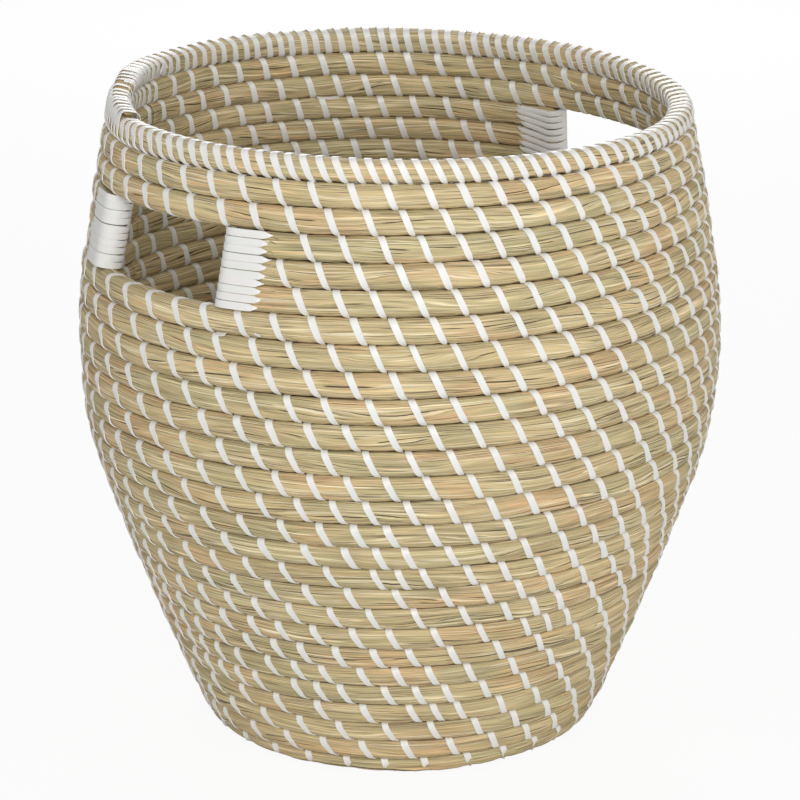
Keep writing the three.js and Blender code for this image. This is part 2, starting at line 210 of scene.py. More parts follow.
def basket_point(turn, rise, out):
    """Places in the basket, from the turn of the coil, metres up the wall and metres outwards."""
    level = turn + rise / PITCH
    slope = np.interp(level, profile_turn, profile_slope)
    reach = np.interp(level, profile_turn, profile_radius) + out * np.sin(slope)
    angle = SEAM_ANGLE + 2 * math.pi * turn
    height = np.interp(level, profile_turn, profile_height) - out * np.cos(slope) - sag_at(angle, level)
    return np.stack((reach * np.cos(angle), reach * np.sin(angle), height), axis=-1)


belly_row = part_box("wall_row_18")[1]
print("belly row of the model reaches x", round(belly_row.x, 4))
print("outline here reaches", round(float(radius_at(BELLY_TURN)) + ROW_THICKNESS / 2, 4))

# %% [markdown]
# Dried grass is never quite even, so everything here wanders a little. A sum
# of a few sine waves with mixed lengths gives a smooth wander that is the same
# each time the script runs, because its random numbers start from a fixed seed.

# %% Smooth wandering
WAVES = 5
WAVE_LENGTHS = [0.55, 1.9]
WAVE_STRENGTHS = [0.5, 1]
CALMING = 1.4


def wander(seed, wave_length):
    """A smooth random function of a length, mostly within -1 and 1."""
    chance = np.random.default_rng(seed)
    wave_lengths = wave_length * chance.uniform(*WAVE_LENGTHS, WAVES)
    starts = chance.uniform(0, 2 * math.pi, WAVES)
    strengths = chance.uniform(*WAVE_STRENGTHS, WAVES)
    strengths /= np.sqrt(np.sum(strengths**2) / 2) * CALMING

    def at(place):
        place = np.asarray(place, float)
        total = np.zeros_like(place)
        for length, start, strength in zip(wave_lengths, starts, strengths):
            total += strength * np.sin(2 * math.pi * place / length + start)
        return total

    return at


# %% [markdown]
# All grass and strip here is long and thin, so one helper makes it: a grid of
# squares is bent into shape, its long edges are merged into a tube and its ends
# are filled. The grid comes with a UV map, and the UVs are then set to real
# lengths, so that a pattern in a material keeps its size on every piece. The
# finished mesh stays at the origin with its place in its points.

# %% Bending a grid into a tube
MERGE_DISTANCE = 2e-6


def tube(name, columns, sides, place, texture_place, material, sharp=math.pi, crevice_shade=None):
    """A closed tube. place, texture_place and the optional painted shade between rows take two arrays: the
    column, and the side round it.
    """
    maker = bmesh.new()
    maker.loops.layers.uv.new("UVMap")
    bmesh.ops.create_grid(maker, x_segments=columns, y_segments=sides, size=0.5, calc_uvs=True)
    mesh = bpy.data.meshes.new(name)
    maker.to_mesh(mesh)
    maker.free()

    flat = np.empty(len(mesh.vertices) * 3)
    mesh.vertices.foreach_get("co", flat)
    flat = flat.reshape(-1, 3) + 0.5
    column = np.rint(flat[:, 0] * columns).astype(int)
    side = np.rint(flat[:, 1] * sides).astype(int)
    mesh.vertices.foreach_set("co", place(column, side % sides).astype(float).ravel())
    if crevice_shade:
        layer = mesh.attributes.new("crevice_shade", "FLOAT", "POINT")
        layer.data.foreach_set("value", crevice_shade(column, side % sides).astype(float))

    layer = mesh.uv_layers["UVMap"]
    corner = np.empty(len(mesh.loops) * 2)
    layer.uv.foreach_get("vector", corner)
    corner = corner.reshape(-1, 2)
    corner = np.rint(corner * (columns, sides)).astype(int)
    corner = texture_place(corner[:, 0], corner[:, 1])
    layer.uv.foreach_set("vector", corner.astype(float).ravel())

    maker = bmesh.new()
    maker.from_mesh(mesh)
    bmesh.ops.remove_doubles(maker, verts=maker.verts, dist=MERGE_DISTANCE)
    bmesh.ops.holes_fill(maker, edges=[edge for edge in maker.edges if edge.is_boundary], sides=0)
    bmesh.ops.recalc_face_normals(maker, faces=maker.faces)
    open_edges = sum(1 for edge in maker.edges if not edge.is_manifold)
    maker.to_mesh(mesh)
    maker.free()
    mesh.shade_smooth()
    mesh.set_sharp_from_angle(angle=sharp)
    mesh.materials.append(material)
    piece = bpy.data.objects.new(name, mesh)
    bpy.context.scene.collection.objects.link(piece)
    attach(piece, "root")
    if open_edges:
        print(name, "has open edges:", open_edges)
    return piece


# %% [markdown]
# The sewing is planned before the rows are made, because each stitch pulls the
# grass in a little. Seen from outside, a stitch leans to the right on its way
# down, and the stitch below it starts right beside its foot. The stitches
# therefore run in slanting columns, and as the basket widens, a new stitch is
# put in wherever two columns are too far apart. Round the rim the strip is
# wound about twice as close. It is closer still at the start of the rim, where
# it holds the thin end down, and closest of all where the strip itself ends.

# %% Places of the stitches
SHIFT_TURNS = [0, 12, 18, 24]
COLUMN_SHIFTS = [0.0115, 0.0112, 0.0106, 0.0082]
WIDEST_STITCH = 0.0260
NARROWEST_STITCH = 0.0130
NEW_STITCH_SHARE = 0.5
EVENING_OUT = 0.4
STITCH_WANDER = 0.0006
FIRST_STITCH = 0.0205
FIRST_PLACE = 0.006
EVEN_START = 0.09
RIM_STITCH = 0.0087
CROWDED_SHARE = 0.58
CROWDED_REACH = 0.045
WOUND_SHARE = 18 / 360
HOLDING_SHARE = 15.8 / 360
HELD_SHARE = 29 / 360
HELD_REACH = 0.03
HELD_CROWDING = 0.55
STITCH_SEED = 21
SHOWN_ROWS = [0, 5, 9, 14, 18, 22, 25, 26]

stitch_chance = np.random.default_rng(STITCH_SEED)
body_stitches = [float(length_at(EYE_TURN)) + FIRST_PLACE]
while body_stitches[-1] - body_stitches[0] < EVEN_START:
    body_stitches.append(body_stitches[-1] + FIRST_STITCH)
column = 1
rim_start = float(length_at(RIM_TURN - 1))
while body_stitches[-1] < rim_start:
    last = body_stitches[-1]
    beside = (body_stitches[column - 1] + body_stitches[column + 1]) / 2
    below = body_stitches[column] + EVENING_OUT * (beside - body_stitches[column])
    column += 1
    below_turn = float(turn_at(below))
    shift = float(np.interp(below_turn, SHIFT_TURNS, COLUMN_SHIFTS))
    wanted = float(length_at(below_turn + 1)) - shift + stitch_chance.normal(0, STITCH_WANDER)
    gap = wanted - last
    if gap < NARROWEST_STITCH:
        continue
    if gap > WIDEST_STITCH:
        body_stitches.append(last + gap * NEW_STITCH_SHARE)
    body_stitches.append(wanted)
body_stitches = [place for place in body_stitches if place < rim_start - RIM_STITCH]

rim_end = float(length_at(RIM_END_TURN))
wound_end = float(length_at(RIM_TURN + WOUND_SHARE))
held_middle = float(length_at(RIM_TURN - 1 + HELD_SHARE))
rim_stitches = [rim_start]
while rim_stitches[-1] < wound_end - RIM_STITCH / 2:
    crowding = math.exp(-(((wound_end - rim_stitches[-1]) / CROWDED_REACH) ** 2))
    crowding += HELD_CROWDING * math.exp(-(((held_middle - rim_stitches[-1]) / HELD_REACH) ** 2))
    step = RIM_STITCH * (1 - (1 - CROWDED_SHARE) * crowding)
    rim_stitches.append(rim_stitches[-1] + step + stitch_chance.normal(0, STITCH_WANDER))
stitch_length = np.concatenate([body_stitches, rim_stitches])
stitch_turn = turn_at(stitch_length)
last_gap = RIM_STITCH * CROWDED_SHARE / 2
stitch_gap = np.append(np.diff(stitch_length), last_gap)
print("stitches:", len(stitch_length))
for row in SHOWN_ROWS:
    in_row = (stitch_turn >= row) & (stitch_turn < row + 1)
    spacing = round(float(stitch_gap[in_row].mean()) * 1000, 1)
    print("row", row, "has", int(np.sum(in_row)), "at", spacing, "mm")

# %% [markdown]
# The openings interrupt three rows on each side. Their edges aren't all
# upright, so each has a lean, in metres from its foot to its top. Nothing is
# sewn in an opening or under the strip that binds its edges.

# %% Openings
OPENING_WIDTH = 0.100
STRIP_THICKNESS = 0.0005
BINDING_GAP = 0.0003
BINDING_WIDTH = 0.029
BINDING_OFFSET = ROW_THICKNESS / 2 + BINDING_GAP + STRIP_THICKNESS / 2
BINDING_REACH = BINDING_OFFSET + STRIP_THICKNESS / 2
PIERCING_DEPTH = BINDING_WIDTH - BINDING_REACH - STRIP_THICKNESS / 2
FREE_OF_STITCHES = 0.0245
LOWEST_OPENING_ROW = ROWS_BELOW_OPENINGS
OPENING_MIDDLE = ROWS_BELOW_OPENINGS + OPENING_ROWS / 2
OPENING_LEFT = (math.radians(180) - SEAM_ANGLE) / (2 * math.pi)
OPENING_RIGHT = (math.radians(356.4) - SEAM_ANGLE) / (2 * math.pi)

edge_circle = 2 * math.pi * float(radius_at(OPENING_MIDDLE))
opening_half = math.asin(OPENING_WIDTH / 2 / float(radius_at(OPENING_MIDDLE))) / (2 * math.pi)
edge_reach = opening_half + BINDING_REACH / edge_circle
EDGES = {
    "left_opening_back_binding": (OPENING_LEFT - edge_reach, -1, 0.005),
    "left_opening_front_binding": (OPENING_LEFT + edge_reach, 1, 0.0037),
    "right_opening_front_binding": (OPENING_RIGHT - edge_reach, -1, 0.0),
    "right_opening_back_binding": (OPENING_RIGHT + edge_reach, 1, -0.0027),
}
print("edges of the openings, as shares of a turn:", [round(edge[0], 4) for edge in EDGES.values()])


def edge_turn_at(edge, up):
    """Turn of a leaning edge at a height up its binding, in metres."""
    middle, _, lean = edge
    return middle + lean / edge_circle * (up / (OPENING_ROWS * PITCH) - 0.5)


def row_end_turn(edge, row, beyond=0.0):
    """Turn where one of the opening's rows ends, inside the strip that binds it."""
    drawn_in = abs(edge[2]) / OPENING_ROWS / 2 - beyond
    return float(edge_turn_at(edge, (row + 0.5) * PITCH)) + edge[1] * drawn_in / edge_circle


def near_opening(turn, margin):
    """True where a turn of the coil lies in an opening, or within a margin in metres of its rows' ends."""
    share = np.mod(turn, 1)
    reach = edge_reach + margin / edge_circle
    beside = (np.abs(share - OPENING_LEFT) < reach) | (np.abs(share - OPENING_RIGHT) < reach)
    level = np.floor(turn)
    return beside & (level >= LOWEST_OPENING_ROW) & (level < LOWEST_OPENING_ROW + OPENING_ROWS)


sewn = ~near_opening(stitch_turn, FREE_OF_STITCHES)
sewn_length = stitch_length[sewn]
print("stitches left out at the openings:", int(np.sum(~sewn)))

# %% [markdown]
# Round a row, places are counted from 0 at the top, over the outside at a
# quarter, under the bottom at a half and up the inside, back to 1 at the top.
# The section of a row is a little squarer than a circle, as a bundle is that
# is pressed between its neighbours. The underside of the base is flatter.

# %% Section of a row
HALF_HEIGHT = 0.00715
HALF_THICKNESS = 0.0068
HALF_THICKNESS_UNDER = 0.0059
FLAT_UNTIL = 0.6
ROUND_FROM = 1.6
SQUARENESS = 3.3


def row_section(turn, around):
    """Metres up and out from the middle of a row, at a share of the way round it."""
    angle = math.pi / 2 - 2 * math.pi * around
    power = 2 / SQUARENESS
    sine = np.sin(angle)
    cosine = np.cos(angle)
    outer = np.interp(turn, [FLAT_UNTIL, ROUND_FROM], [HALF_THICKNESS_UNDER, HALF_THICKNESS])
    thickness = np.where(cosine > 0, outer, HALF_THICKNESS)
    rise = HALF_HEIGHT * np.sign(sine) * np.abs(sine) ** power
    out = thickness * np.sign(cosine) * np.abs(cosine) ** power
    return rise, out


# %% [markdown]
# The strip goes down the outside of a row, leaning forward, passes under it
# through the top of the row below, and comes up the inside, leaning the same
# way, to the next stitch. This gives its place along the coil for each place
# round the row: on the outside from the middle of its stitch, and on the
# inside from the middle of the next one. The lean grows with the height it has
# come down, a little late in the lower rows and a little early in the upper
# ones, where the stitches also lean least.

# %% Way of the strip round a row
LEAN_TURNS = [0, 12, 18, 24, RIM_TURN - 1.1, RIM_TURN - 0.9]
HALF_LEANS = [0.0032, 0.0034, 0.0033, 0.0027, 0.0026, 0.0029]
INNER_LEANS = [0.0034, 0.0038, 0.0046, 0.0050, 0.0050, 0.0032]
OUTSIDE_END = 0.485
INSIDE_START = 0.515
LATE_LEANS = [0.3, 0.15, 0.0, -0.22, -0.22, -0.1]


def share_under(around):
    """0 on the outside of a row and 1 on its inside, with a smooth way under it."""
    return np.clip((around - OUTSIDE_END) / (INSIDE_START - OUTSIDE_END), 0, 1)


def strip_lean(around, turn):
    half_lean = np.interp(turn, LEAN_TURNS, HALF_LEANS)
    inner_lean = np.interp(turn, LEAN_TURNS, INNER_LEANS)
    come_down = (1 - row_section(turn, around)[0] / HALF_HEIGHT) / 2
    late = np.interp(turn, LEAN_TURNS, LATE_LEANS)
    eased = (1 - late) * come_down + late * come_down**2
    down = half_lean * (2 * eased - 1)
    back_up = -half_lean - inner_lean * come_down
    under = share_under(around)
    return down * (1 - under) + back_up * under


# %% [markdown]
# A bundle shows 28 stems round it. Each stem has one point in the groove beside
# it and two on its low crown. Its width and height wander along the coil, so
# the grooves between the stems run almost straight but never quite. The columns
# of points lean as the strip does, with one on each side of every stitch, so
# the bundle can be pulled in sharply under the strip and swell again beside it.
# Every wander depends on the length along the coil alone, so the stems run on
# unbroken from one row piece to the next. A few numbers are lists, because the
# rim is pressed in more than the rows below it.

# %% Shape of a bundle of stems
STEMS = 28
POINTS_PER_STEM = 3
GRASS_STEP = 0.0042
FINE_STEP = 0.0014
FINE_REACH = 0.16
BESIDE_STITCH = 0.0025
SHORTEST_STEP = 0.0012
STRAIGHT_END = 0.015
STEM_RIDGE = np.array([-0.00032, 0.00014, 0.00014])
RIDGE_WANDER = 0.7
WIDTH_WANDER = 0.28
NARROWEST_STEM = 0.25
STEM_WAVE = 0.15
BUNDLE_WAVE = 0.09
BUNDLE_WANDER = 0.0004
PULLED_IN = [0.0003] * 5 + [0.0006]
PULLED_HALF_WIDTH = 0.0024
PULLED_FADE = [0.0022] * 5 + [0.0045]
RIDGE_PRESSED = 0.75
SWELLING = 0.0001
LOWEST_GRASS = 0.0003
# How far round a row the painted shade between rows reaches, and how it fades.
CREVICE_SHADE_TURNS = [0, 9, 15, 24]
CREVICE_SHADE_TOPS = [0.058, 0.048, 0.03, 0.018]
CREVICE_SHADE_FOOT = 0.016
CREVICE_SHADE_FADE = 0.03
STEM_WIDTH_SEED = 100
STEM_HEIGHT_SEED = 200
OUTER_BUNDLE_SEED = 300
INNER_BUNDLE_SEED = 301

stem_width_wander = [wander(STEM_WIDTH_SEED + stem, STEM_WAVE) for stem in range(STEMS)]
stem_height_wander = [wander(STEM_HEIGHT_SEED + stem, STEM_WAVE) for stem in range(STEMS)]
outer_bundle_wander = wander(OUTER_BUNDLE_SEED, BUNDLE_WAVE)
inner_bundle_wander = wander(INNER_BUNDLE_SEED, BUNDLE_WAVE)

coil_start = float(length_at(EYE_TURN - CURLED_IN))
fine_until = [coil_start, coil_start + FINE_REACH]
is_holding = (stitch_turn > RIM_TURN - 1 + HOLDING_SHARE) & (stitch_turn < RIM_END_TURN - 1)
pressed_length = np.sort(np.concatenate([sewn_length, length_at(stitch_turn[is_holding] + 1)]))


def grass_columns(start, end):
    """Places of the columns of a row: one on each side of a stitch, and even steps between."""
    marks = np.sort(np.concatenate([pressed_length - BESIDE_STITCH, pressed_length + BESIDE_STITCH]))
    marks = marks[(marks > start + SHORTEST_STEP) & (marks < end - SHORTEST_STEP)]
    marks = np.concatenate([[start], marks, [end]])
    places = [marks[:1]]
    for first, last in zip(marks[:-1], marks[1:]):
        steps = max(1, round((last - first) / np.interp(first, fine_until, [FINE_STEP, GRASS_STEP])))
        places.append(np.linspace(first, last, steps + 1)[1:])
    return np.concatenate(places)


def pressed_by_strip(middle, turns):
    """1 under the strip and 0 away from it, for places counted from the lean of the strip."""
    after = np.clip(np.searchsorted(pressed_length, middle), 1, len(pressed_length) - 1)
    distance = np.minimum(np.abs(middle - pressed_length[after - 1]), np.abs(pressed_length[after] - middle))
    fade = np.interp(turns, LEAN_TURNS, PULLED_FADE)
    return np.exp(-((np.maximum(distance - PULLED_HALF_WIDTH, 0) / fade) ** 2))


def grass_surface(length, around):
    """How far the bundle swells past its plain section, before a stitch pulls it in."""
    angle = math.pi / 2 - 2 * math.pi * around
    outwards = np.cos(angle)
    swell = np.where(outwards > 0, outer_bundle_wander(length), inner_bundle_wander(length))
    return (BUNDLE_WANDER * swell + SWELLING) * np.abs(outwards)


def painted_crevice_shade(turn, around):
    """Painted shade where a row lies on the next: 1 along the line where they meet, down to 0 on its open
    sides.
    """
    from_top = np.minimum(around, 1 - around)
    from_foot = np.abs(around - 0.5)
    top_is_met = ~near_opening(turn + 1, 0) & (turn < RIM_TURN - 1)
    foot_is_met = ~near_opening(turn - 1, 0)
    top_reach = np.where(around < 0.5, np.interp(turn, CREVICE_SHADE_TURNS, CREVICE_SHADE_TOPS), CREVICE_SHADE_FOOT)
    at_top = np.clip(1 - (from_top - top_reach) / CREVICE_SHADE_FADE, 0, 1) * top_is_met
    at_foot = np.clip(1 - (from_foot - CREVICE_SHADE_FOOT) / CREVICE_SHADE_FADE, 0, 1) * foot_is_met
    return np.maximum(at_top, at_foot)


def on_row(turn, length, around, growth, shape, dip=0.0):
    """Places on a row, grown outwards from its plain section."""
    rise, out = row_section(turn, around)
    scale = 1 + growth / np.hypot(rise, out)
    height_share, thickness_share, foot_share = shape(length)
    rise = foot_share * (height_share - 1) * HALF_HEIGHT + rise * scale * height_share
    out = out * scale * thickness_share
    return basket_point(turn, rise - dip, out)


def bundle(name, node, start_turn, end_turn, shape, material):
    """One row of grass from turn to turn, in place of a node of the model."""
    start = float(length_at(start_turn))
    end = float(length_at(end_turn))
    middles = grass_columns(start, end)
    columns = len(middles) - 1
    sides = STEMS * POINTS_PER_STEM

    widths = np.stack([at(middles) for at in stem_width_wander], axis=1)
    widths = np.maximum(1 + WIDTH_WANDER * widths, NARROWEST_STEM)
    widths /= widths.sum(axis=1, keepdims=True)
    stem_starts = np.cumsum(widths, axis=1) - widths
    within = np.arange(POINTS_PER_STEM) / POINTS_PER_STEM
    share = (stem_starts[:, :, None] + widths[:, :, None] * within).reshape(columns + 1, sides)
    around = np.mod(0.5 - share, 1)

    strengths = np.stack([at(middles) for at in stem_height_wander], axis=1)
    strengths = 1 + RIDGE_WANDER * strengths
    ridge = (strengths[:, :, None] * STEM_RIDGE).reshape(columns + 1, sides)

    leaning = np.ones(columns + 1)
    if start_turn % 1:
        leaning = np.minimum(leaning, (middles - start) / STRAIGHT_END)
    if end_turn % 1:
        leaning = np.minimum(leaning, (end - middles) / STRAIGHT_END)
    lengths = middles[:, None] + leaning[:, None] * strip_lean(around, turn_at(middles)[:, None])
    turns = turn_at(lengths)
    pressed = pressed_by_strip(lengths - strip_lean(around, turns), turns)
    growth = grass_surface(lengths, around) + ridge * (1 - RIDGE_PRESSED * pressed)
    growth -= np.interp(turns, LEAN_TURNS, PULLED_IN) * pressed
    points = on_row(turns, lengths, around, growth, shape)
    points[..., 2] = np.maximum(points[..., 2], LOWEST_GRASS)

    # Painted shade along the lines where the rows meet, kept with the points.
    crevice_shades = painted_crevice_shade(turns, around)
    piece = tube(
        name,
        columns,
        sides,
        lambda column, side: points[column, side],
        lambda column, side: np.stack((lengths[column, side % sides], side / POINTS_PER_STEM), axis=-1),
        material,
        crevice_shade=lambda column, side: crevice_shades[column, side],
    )
    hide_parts(node)
    return piece


# %% [markdown]
# The sewing strip is flat and about four millimetres wide, with crisp edges. It
# follows its way round the rows as one long ribbon. Its width lies in the
# surface of the bundle and square to its way, so it is found from the two with
# a cross product. Where it passes through the row below it is gathered to half
# its width: its left edge sweeps to the right, and its right edge keeps its way.

# %% Sewing strip
STRIP_WIDTH = 0.0040
STRIP_SECTION = np.array([[-1, 0], [-0.96, 1.0], [0.96, 1.0], [1, 0]])
OUTSIDE_STOPS = [0, 0.04, 0.08, 0.12, 0.16, 0.2, 0.3, 0.34, 0.38, 0.42, 0.455]
UNDER_STOPS = [0.48, 0.5, 0.52]
INSIDE_STOPS = [0.57, 0.63, 0.69, 0.81, 0.87, 0.94]
STRIP_STOPS = np.array(OUTSIDE_STOPS + UNDER_STOPS + INSIDE_STOPS)
STRIP_EDGE_ANGLE = math.radians(55)
STRIP_REST = [0.00008] * 5 + [0.0002]
STRIP_GROWTH = np.subtract(STRIP_REST, PULLED_IN)
GATHERED = 0.5
GATHER_PLACES = [0.27, 0.38, 0.44, 0.485, 0.515, 0.57]
GATHER_SHARES = [0, 0.35, 0.8, 1, 1, 0]
DIP = 0.0011
DIP_REACH = 0.045
STRIP_WAVE = 0.27
STRIP_WANDER = 0.07
STRIP_SEED = 401
CORE_GROWTH = -HALF_THICKNESS / 2

strip_width_wander = wander(STRIP_SEED, STRIP_WAVE)


def ribbon(name, path, outwards, widths, thickness, section, material):
    """A flat strip along a path, with its thickness on the side that outwards points to."""
    along = np.gradient(path, axis=0)
    along /= np.linalg.norm(along, axis=1, keepdims=True)
    across = np.cross(outwards, along)
    across /= np.linalg.norm(across, axis=1, keepdims=True)
    upwards = np.cross(along, across)
    half = widths[:, None, None] / 2 * section[None, :, :1]
    lift = thickness[:, None, None] * section[None, :, 1:]
    points = path[:, None, :] + across[:, None, :] * half + upwards[:, None, :] * lift
    points[..., 2] = np.maximum(points[..., 2], 0)
    steps = np.linalg.norm(np.diff(path, axis=0), axis=1)
    lengths = np.concatenate([[0], np.cumsum(steps)])
    sides = len(section)
    piece = tube(
        name,
        len(path) - 1,
        sides,
        lambda column, side: points[column, side],
        lambda column, side: np.stack((lengths[column], side / sides), axis=-1),
        material,
        STRIP_EDGE_ANGLE,
    )
    return piece


def sewing(name, first, last, shape, material):
    """The strip through the stitches from first up to last, which it reaches but doesn't sew."""
    starts = stitch_length[first:last]
    gaps = np.minimum(stitch_gap[first:last], WIDEST_STITCH)
    around = np.append(np.tile(STRIP_STOPS, len(starts)), 1)
    stitch = np.append(np.repeat(np.arange(len(starts)), len(STRIP_STOPS)), len(starts) - 1)
    gather = GATHERED * np.interp(around, GATHER_PLACES, GATHER_SHARES)
    lengths = starts[stitch] + gaps[stitch] * share_under(around)
    lengths += strip_lean(around, turn_at(lengths)) + STRIP_WIDTH / 2 * gather
    turns = turn_at(lengths)
    under = np.exp(-(((around - 0.5) / DIP_REACH) ** 2))
    over_grass = ~near_opening(turns - 1, 0)
    growth = grass_surface(lengths, around) + np.interp(turns, LEAN_TURNS, STRIP_GROWTH)
    path = on_row(turns, lengths, around, growth, shape, dip=DIP * under * over_grass)
    core = on_row(turns, lengths, around, np.full_like(lengths, CORE_GROWTH), shape)
    widths = STRIP_WIDTH * (1 + STRIP_WANDER * strip_width_wander(lengths)) * (1 - gather)
    thickness = np.full(len(path), STRIP_THICKNESS)
    return ribbon(name, path, path - core, widths, thickness, STRIP_SECTION, material)


# %% [markdown]
# A material for grass has to show single stems. The UV map of a row holds the
# metres along the coil and the number of the stem round it, so a pattern can
# follow one stem for as long as it likes. Noise that is stretched along the
# coil makes fibres, and the same noise does for the strip and the loose stems,
# so it is a node group with its own inputs.

# %% Node helpers
def add_node(tree, kind, **values):
    """A node with its settings, and its inputs set or linked by name."""
    node = tree.nodes.new(kind)
    for name, value in values.items():
        if hasattr(node, name) and name not in node.inputs:
            setattr(node, name, value)
    for name, value in values.items():
        if name in node.inputs:
            set_input(tree, node.inputs[name], value)
    return node


def set_input(tree, socket, value):
    if isinstance(value, bpy.types.NodeSocket):
        tree.links.new(value, socket)
    else:
        socket.default_value = value


def maths(tree, operation, first, second=0.0, third=0.0):
    node = tree.nodes.new("ShaderNodeMath")
    node.operation = operation
    for socket, value in zip(node.inputs, (first, second, third)):
        set_input(tree, socket, value)
    return node.outputs[0]


def smooth_range(tree, value, low, high, to_low=0.0, to_high=1.0):
    node = add_node(tree, "ShaderNodeMapRange", interpolation_type="SMOOTHSTEP")
    for socket, part in zip(node.inputs, (value, low, high, to_low, to_high)):
        set_input(tree, socket, part)
    return node.outputs[0]


def mix_colour(tree, share, first, second, blend="MIX"):
    node = tree.nodes.new("ShaderNodeMix")
    node.data_type = "RGBA"
    node.blend_type = blend
    set_input(tree, node.inputs[0], share)
    set_input(tree, node.inputs[6], first)
    set_input(tree, node.inputs[7], second)
    return node.outputs[2]


def new_group(name, inputs, outputs):
    """A node group with named inputs and outputs, each of a kind of socket."""
    tree = bpy.data.node_groups.new(name, "ShaderNodeTree")
    for socket_name, kind in inputs.items():
        tree.interface.new_socket(socket_name, in_out="INPUT", socket_type=kind)
    for socket_name, kind in outputs.items():
        tree.interface.new_socket(socket_name, in_out="OUTPUT", socket_type=kind)
    entry = tree.nodes.new("NodeGroupInput")
    leave = tree.nodes.new("NodeGroupOutput")
    return tree, entry.outputs, leave.inputs


def place_group(tree, group, **values):
    node = tree.nodes.new("ShaderNodeGroup")
    node.node_tree = group
    for name, value in values.items():
        set_input(tree, node.inputs[name.replace("_", " ")], value)
    return node.outputs


FLOAT = "NodeSocketFloat"
COLOUR = "NodeSocketColor"
VECTOR = "NodeSocketVector"

# %% Fibres, for every grass and strip
fibres, inside, outside = new_group(
    "fibres",
    {"Place": VECTOR, "Per Metre": FLOAT, "Per Stem": FLOAT, "Seed": FLOAT, "Detail": FLOAT},
    {"Fibre": FLOAT},
)
parts = add_node(fibres, "ShaderNodeSeparateXYZ", Vector=inside["Place"]).outputs
stretched = add_node(
    fibres,
    "ShaderNodeCombineXYZ",
    X=maths(fibres, "MULTIPLY", parts["X"], inside["Per Metre"]),
    Y=maths(fibres, "MULTIPLY", parts["Y"], inside["Per Stem"]),
    Z=inside["Seed"],
).outputs[0]
noise = add_node(fibres, "ShaderNodeTexNoise", Vector=stretched, Scale=1.0, Detail=inside["Detail"])
fibres.links.new(noise.outputs["Fac"], outside["Fibre"])

# %% [markdown]
# Seagrass is split and bundled, so its surface is made of straight strands that
# lie side by side. The group below divides the surface into lanes along the
# coil. In each lane a strand comes and goes: a stretched noise of its own gives
# the strand's width at each place, so it runs out in a point at both ends. The
# same group makes wide blades, thin cream slivers, which are partly a painted
# highlight, and the dark gaps, which are painted shade between the strands, each
# with its own numbers, and it also gives every lane a chance value for its colour.

# %% Strands in lanes
STRAND_SOFTNESS = 0.12
SOLID_SHARE = 0.55
EDGE_SOFTNESS = 0.001

strands, inside, outside = new_group(
    "strands",
    {
        "Place": VECTOR,
        "Per Metre": FLOAT,
        "Per Stem": FLOAT,
        "Sway": FLOAT,
        "Seed": FLOAT,
        "Scarcity": FLOAT,
        "Width": FLOAT,
    },
    {"Strand": FLOAT, "Chance": FLOAT},
)
parts = add_node(strands, "ShaderNodeSeparateXYZ", Vector=inside["Place"]).outputs
bend = place_group(
    strands, fibres, Place=inside["Place"], Per_Metre=5.0, Per_Stem=0.12, Seed=inside["Seed"], Detail=1.0
)["Fibre"]
swayed = maths(strands, "MULTIPLY_ADD", bend, inside["Sway"], parts["Y"])
lane_place = maths(strands, "MULTIPLY_ADD", swayed, inside["Per Stem"], inside["Seed"])
lane = maths(strands, "FLOOR", lane_place)
off_middle = maths(strands, "ABSOLUTE", maths(strands, "SUBTRACT", maths(strands, "FRACT", lane_place), 0.5))
along = maths(strands, "MULTIPLY", parts["X"], inside["Per Metre"])


def lane_noise(spread, depth):
    """Noise along a lane that has nothing to do with that of the next lane."""
    place = add_node(
        strands,
        "ShaderNodeCombineXYZ",
        X=along,
        Y=maths(strands, "MULTIPLY", lane, spread),
        Z=maths(strands, "ADD", inside["Seed"], depth),
    ).outputs[0]
    return add_node(strands, "ShaderNodeTexNoise", Vector=place, Scale=1.0, Detail=1.0).outputs["Fac"]


thickness_noise = lane_noise(spread=7.31, depth=0.0)
full_from = maths(strands, "ADD", inside["Scarcity"], STRAND_SOFTNESS)
fullness = smooth_range(strands, thickness_noise, inside["Scarcity"], full_from)
half_width = maths(strands, "MULTIPLY", fullness, maths(strands, "MULTIPLY", inside["Width"], 0.5))
solid_until = maths(strands, "MULTIPLY", half_width, SOLID_SHARE)
gone_from = maths(strands, "ADD", half_width, EDGE_SOFTNESS)
covered = smooth_range(strands, off_middle, solid_until, gone_from, 1.0, 0.0)
strands.links.new(maths(strands, "MULTIPLY", covered, fullness), outside["Strand"])
strands.links.new(lane_noise(spread=5.17, depth=40.0), outside["Chance"])

# %% [markdown]
# Real seagrass dries to many colours at once: straw, a greyish olive where it
# was still green, tan, cream, and here and there a rosy blade. Broad patches
# over the whole bundle come first, then the wide blades and the thin slivers,
# with a fine fibre over them. The cream slivers are partly pale strands and
# partly a painted highlight. The dark gaps come last: they are painted shade
# between the strands, and with them comes a painted shade along the line where
# one row lies on the next.

# %% Colour and relief of blades
OLIVE_CHANCE = 0.5
TAN_CHANCE = 0.4
ROSY_CHANCE = 0.6
OLIVE_PICK = [0.68, 0.86]
TAN_PICK = [0.72, 0.86]
ROSY_PICK = [0.9, 0.98]
ROSY_STRENGTH = 0.7
LIGHT_PICK = [0.42, 0.6]
LIGHT_STRENGTH = 0.55
# Cream slivers: partly pale strands, partly a painted highlight.
SLIVER_TONE_AND_HIGHLIGHT = 0.85
# Strength of the painted shade where one row lies on the next.
CREVICE_SHADE_STRENGTH = 0.85
FIBRE_CONTRAST = 1.4
FIBRE_HEIGHT = 0.6
STRAND_HEIGHT = 0.35
SLIVER_HEIGHT = 0.3

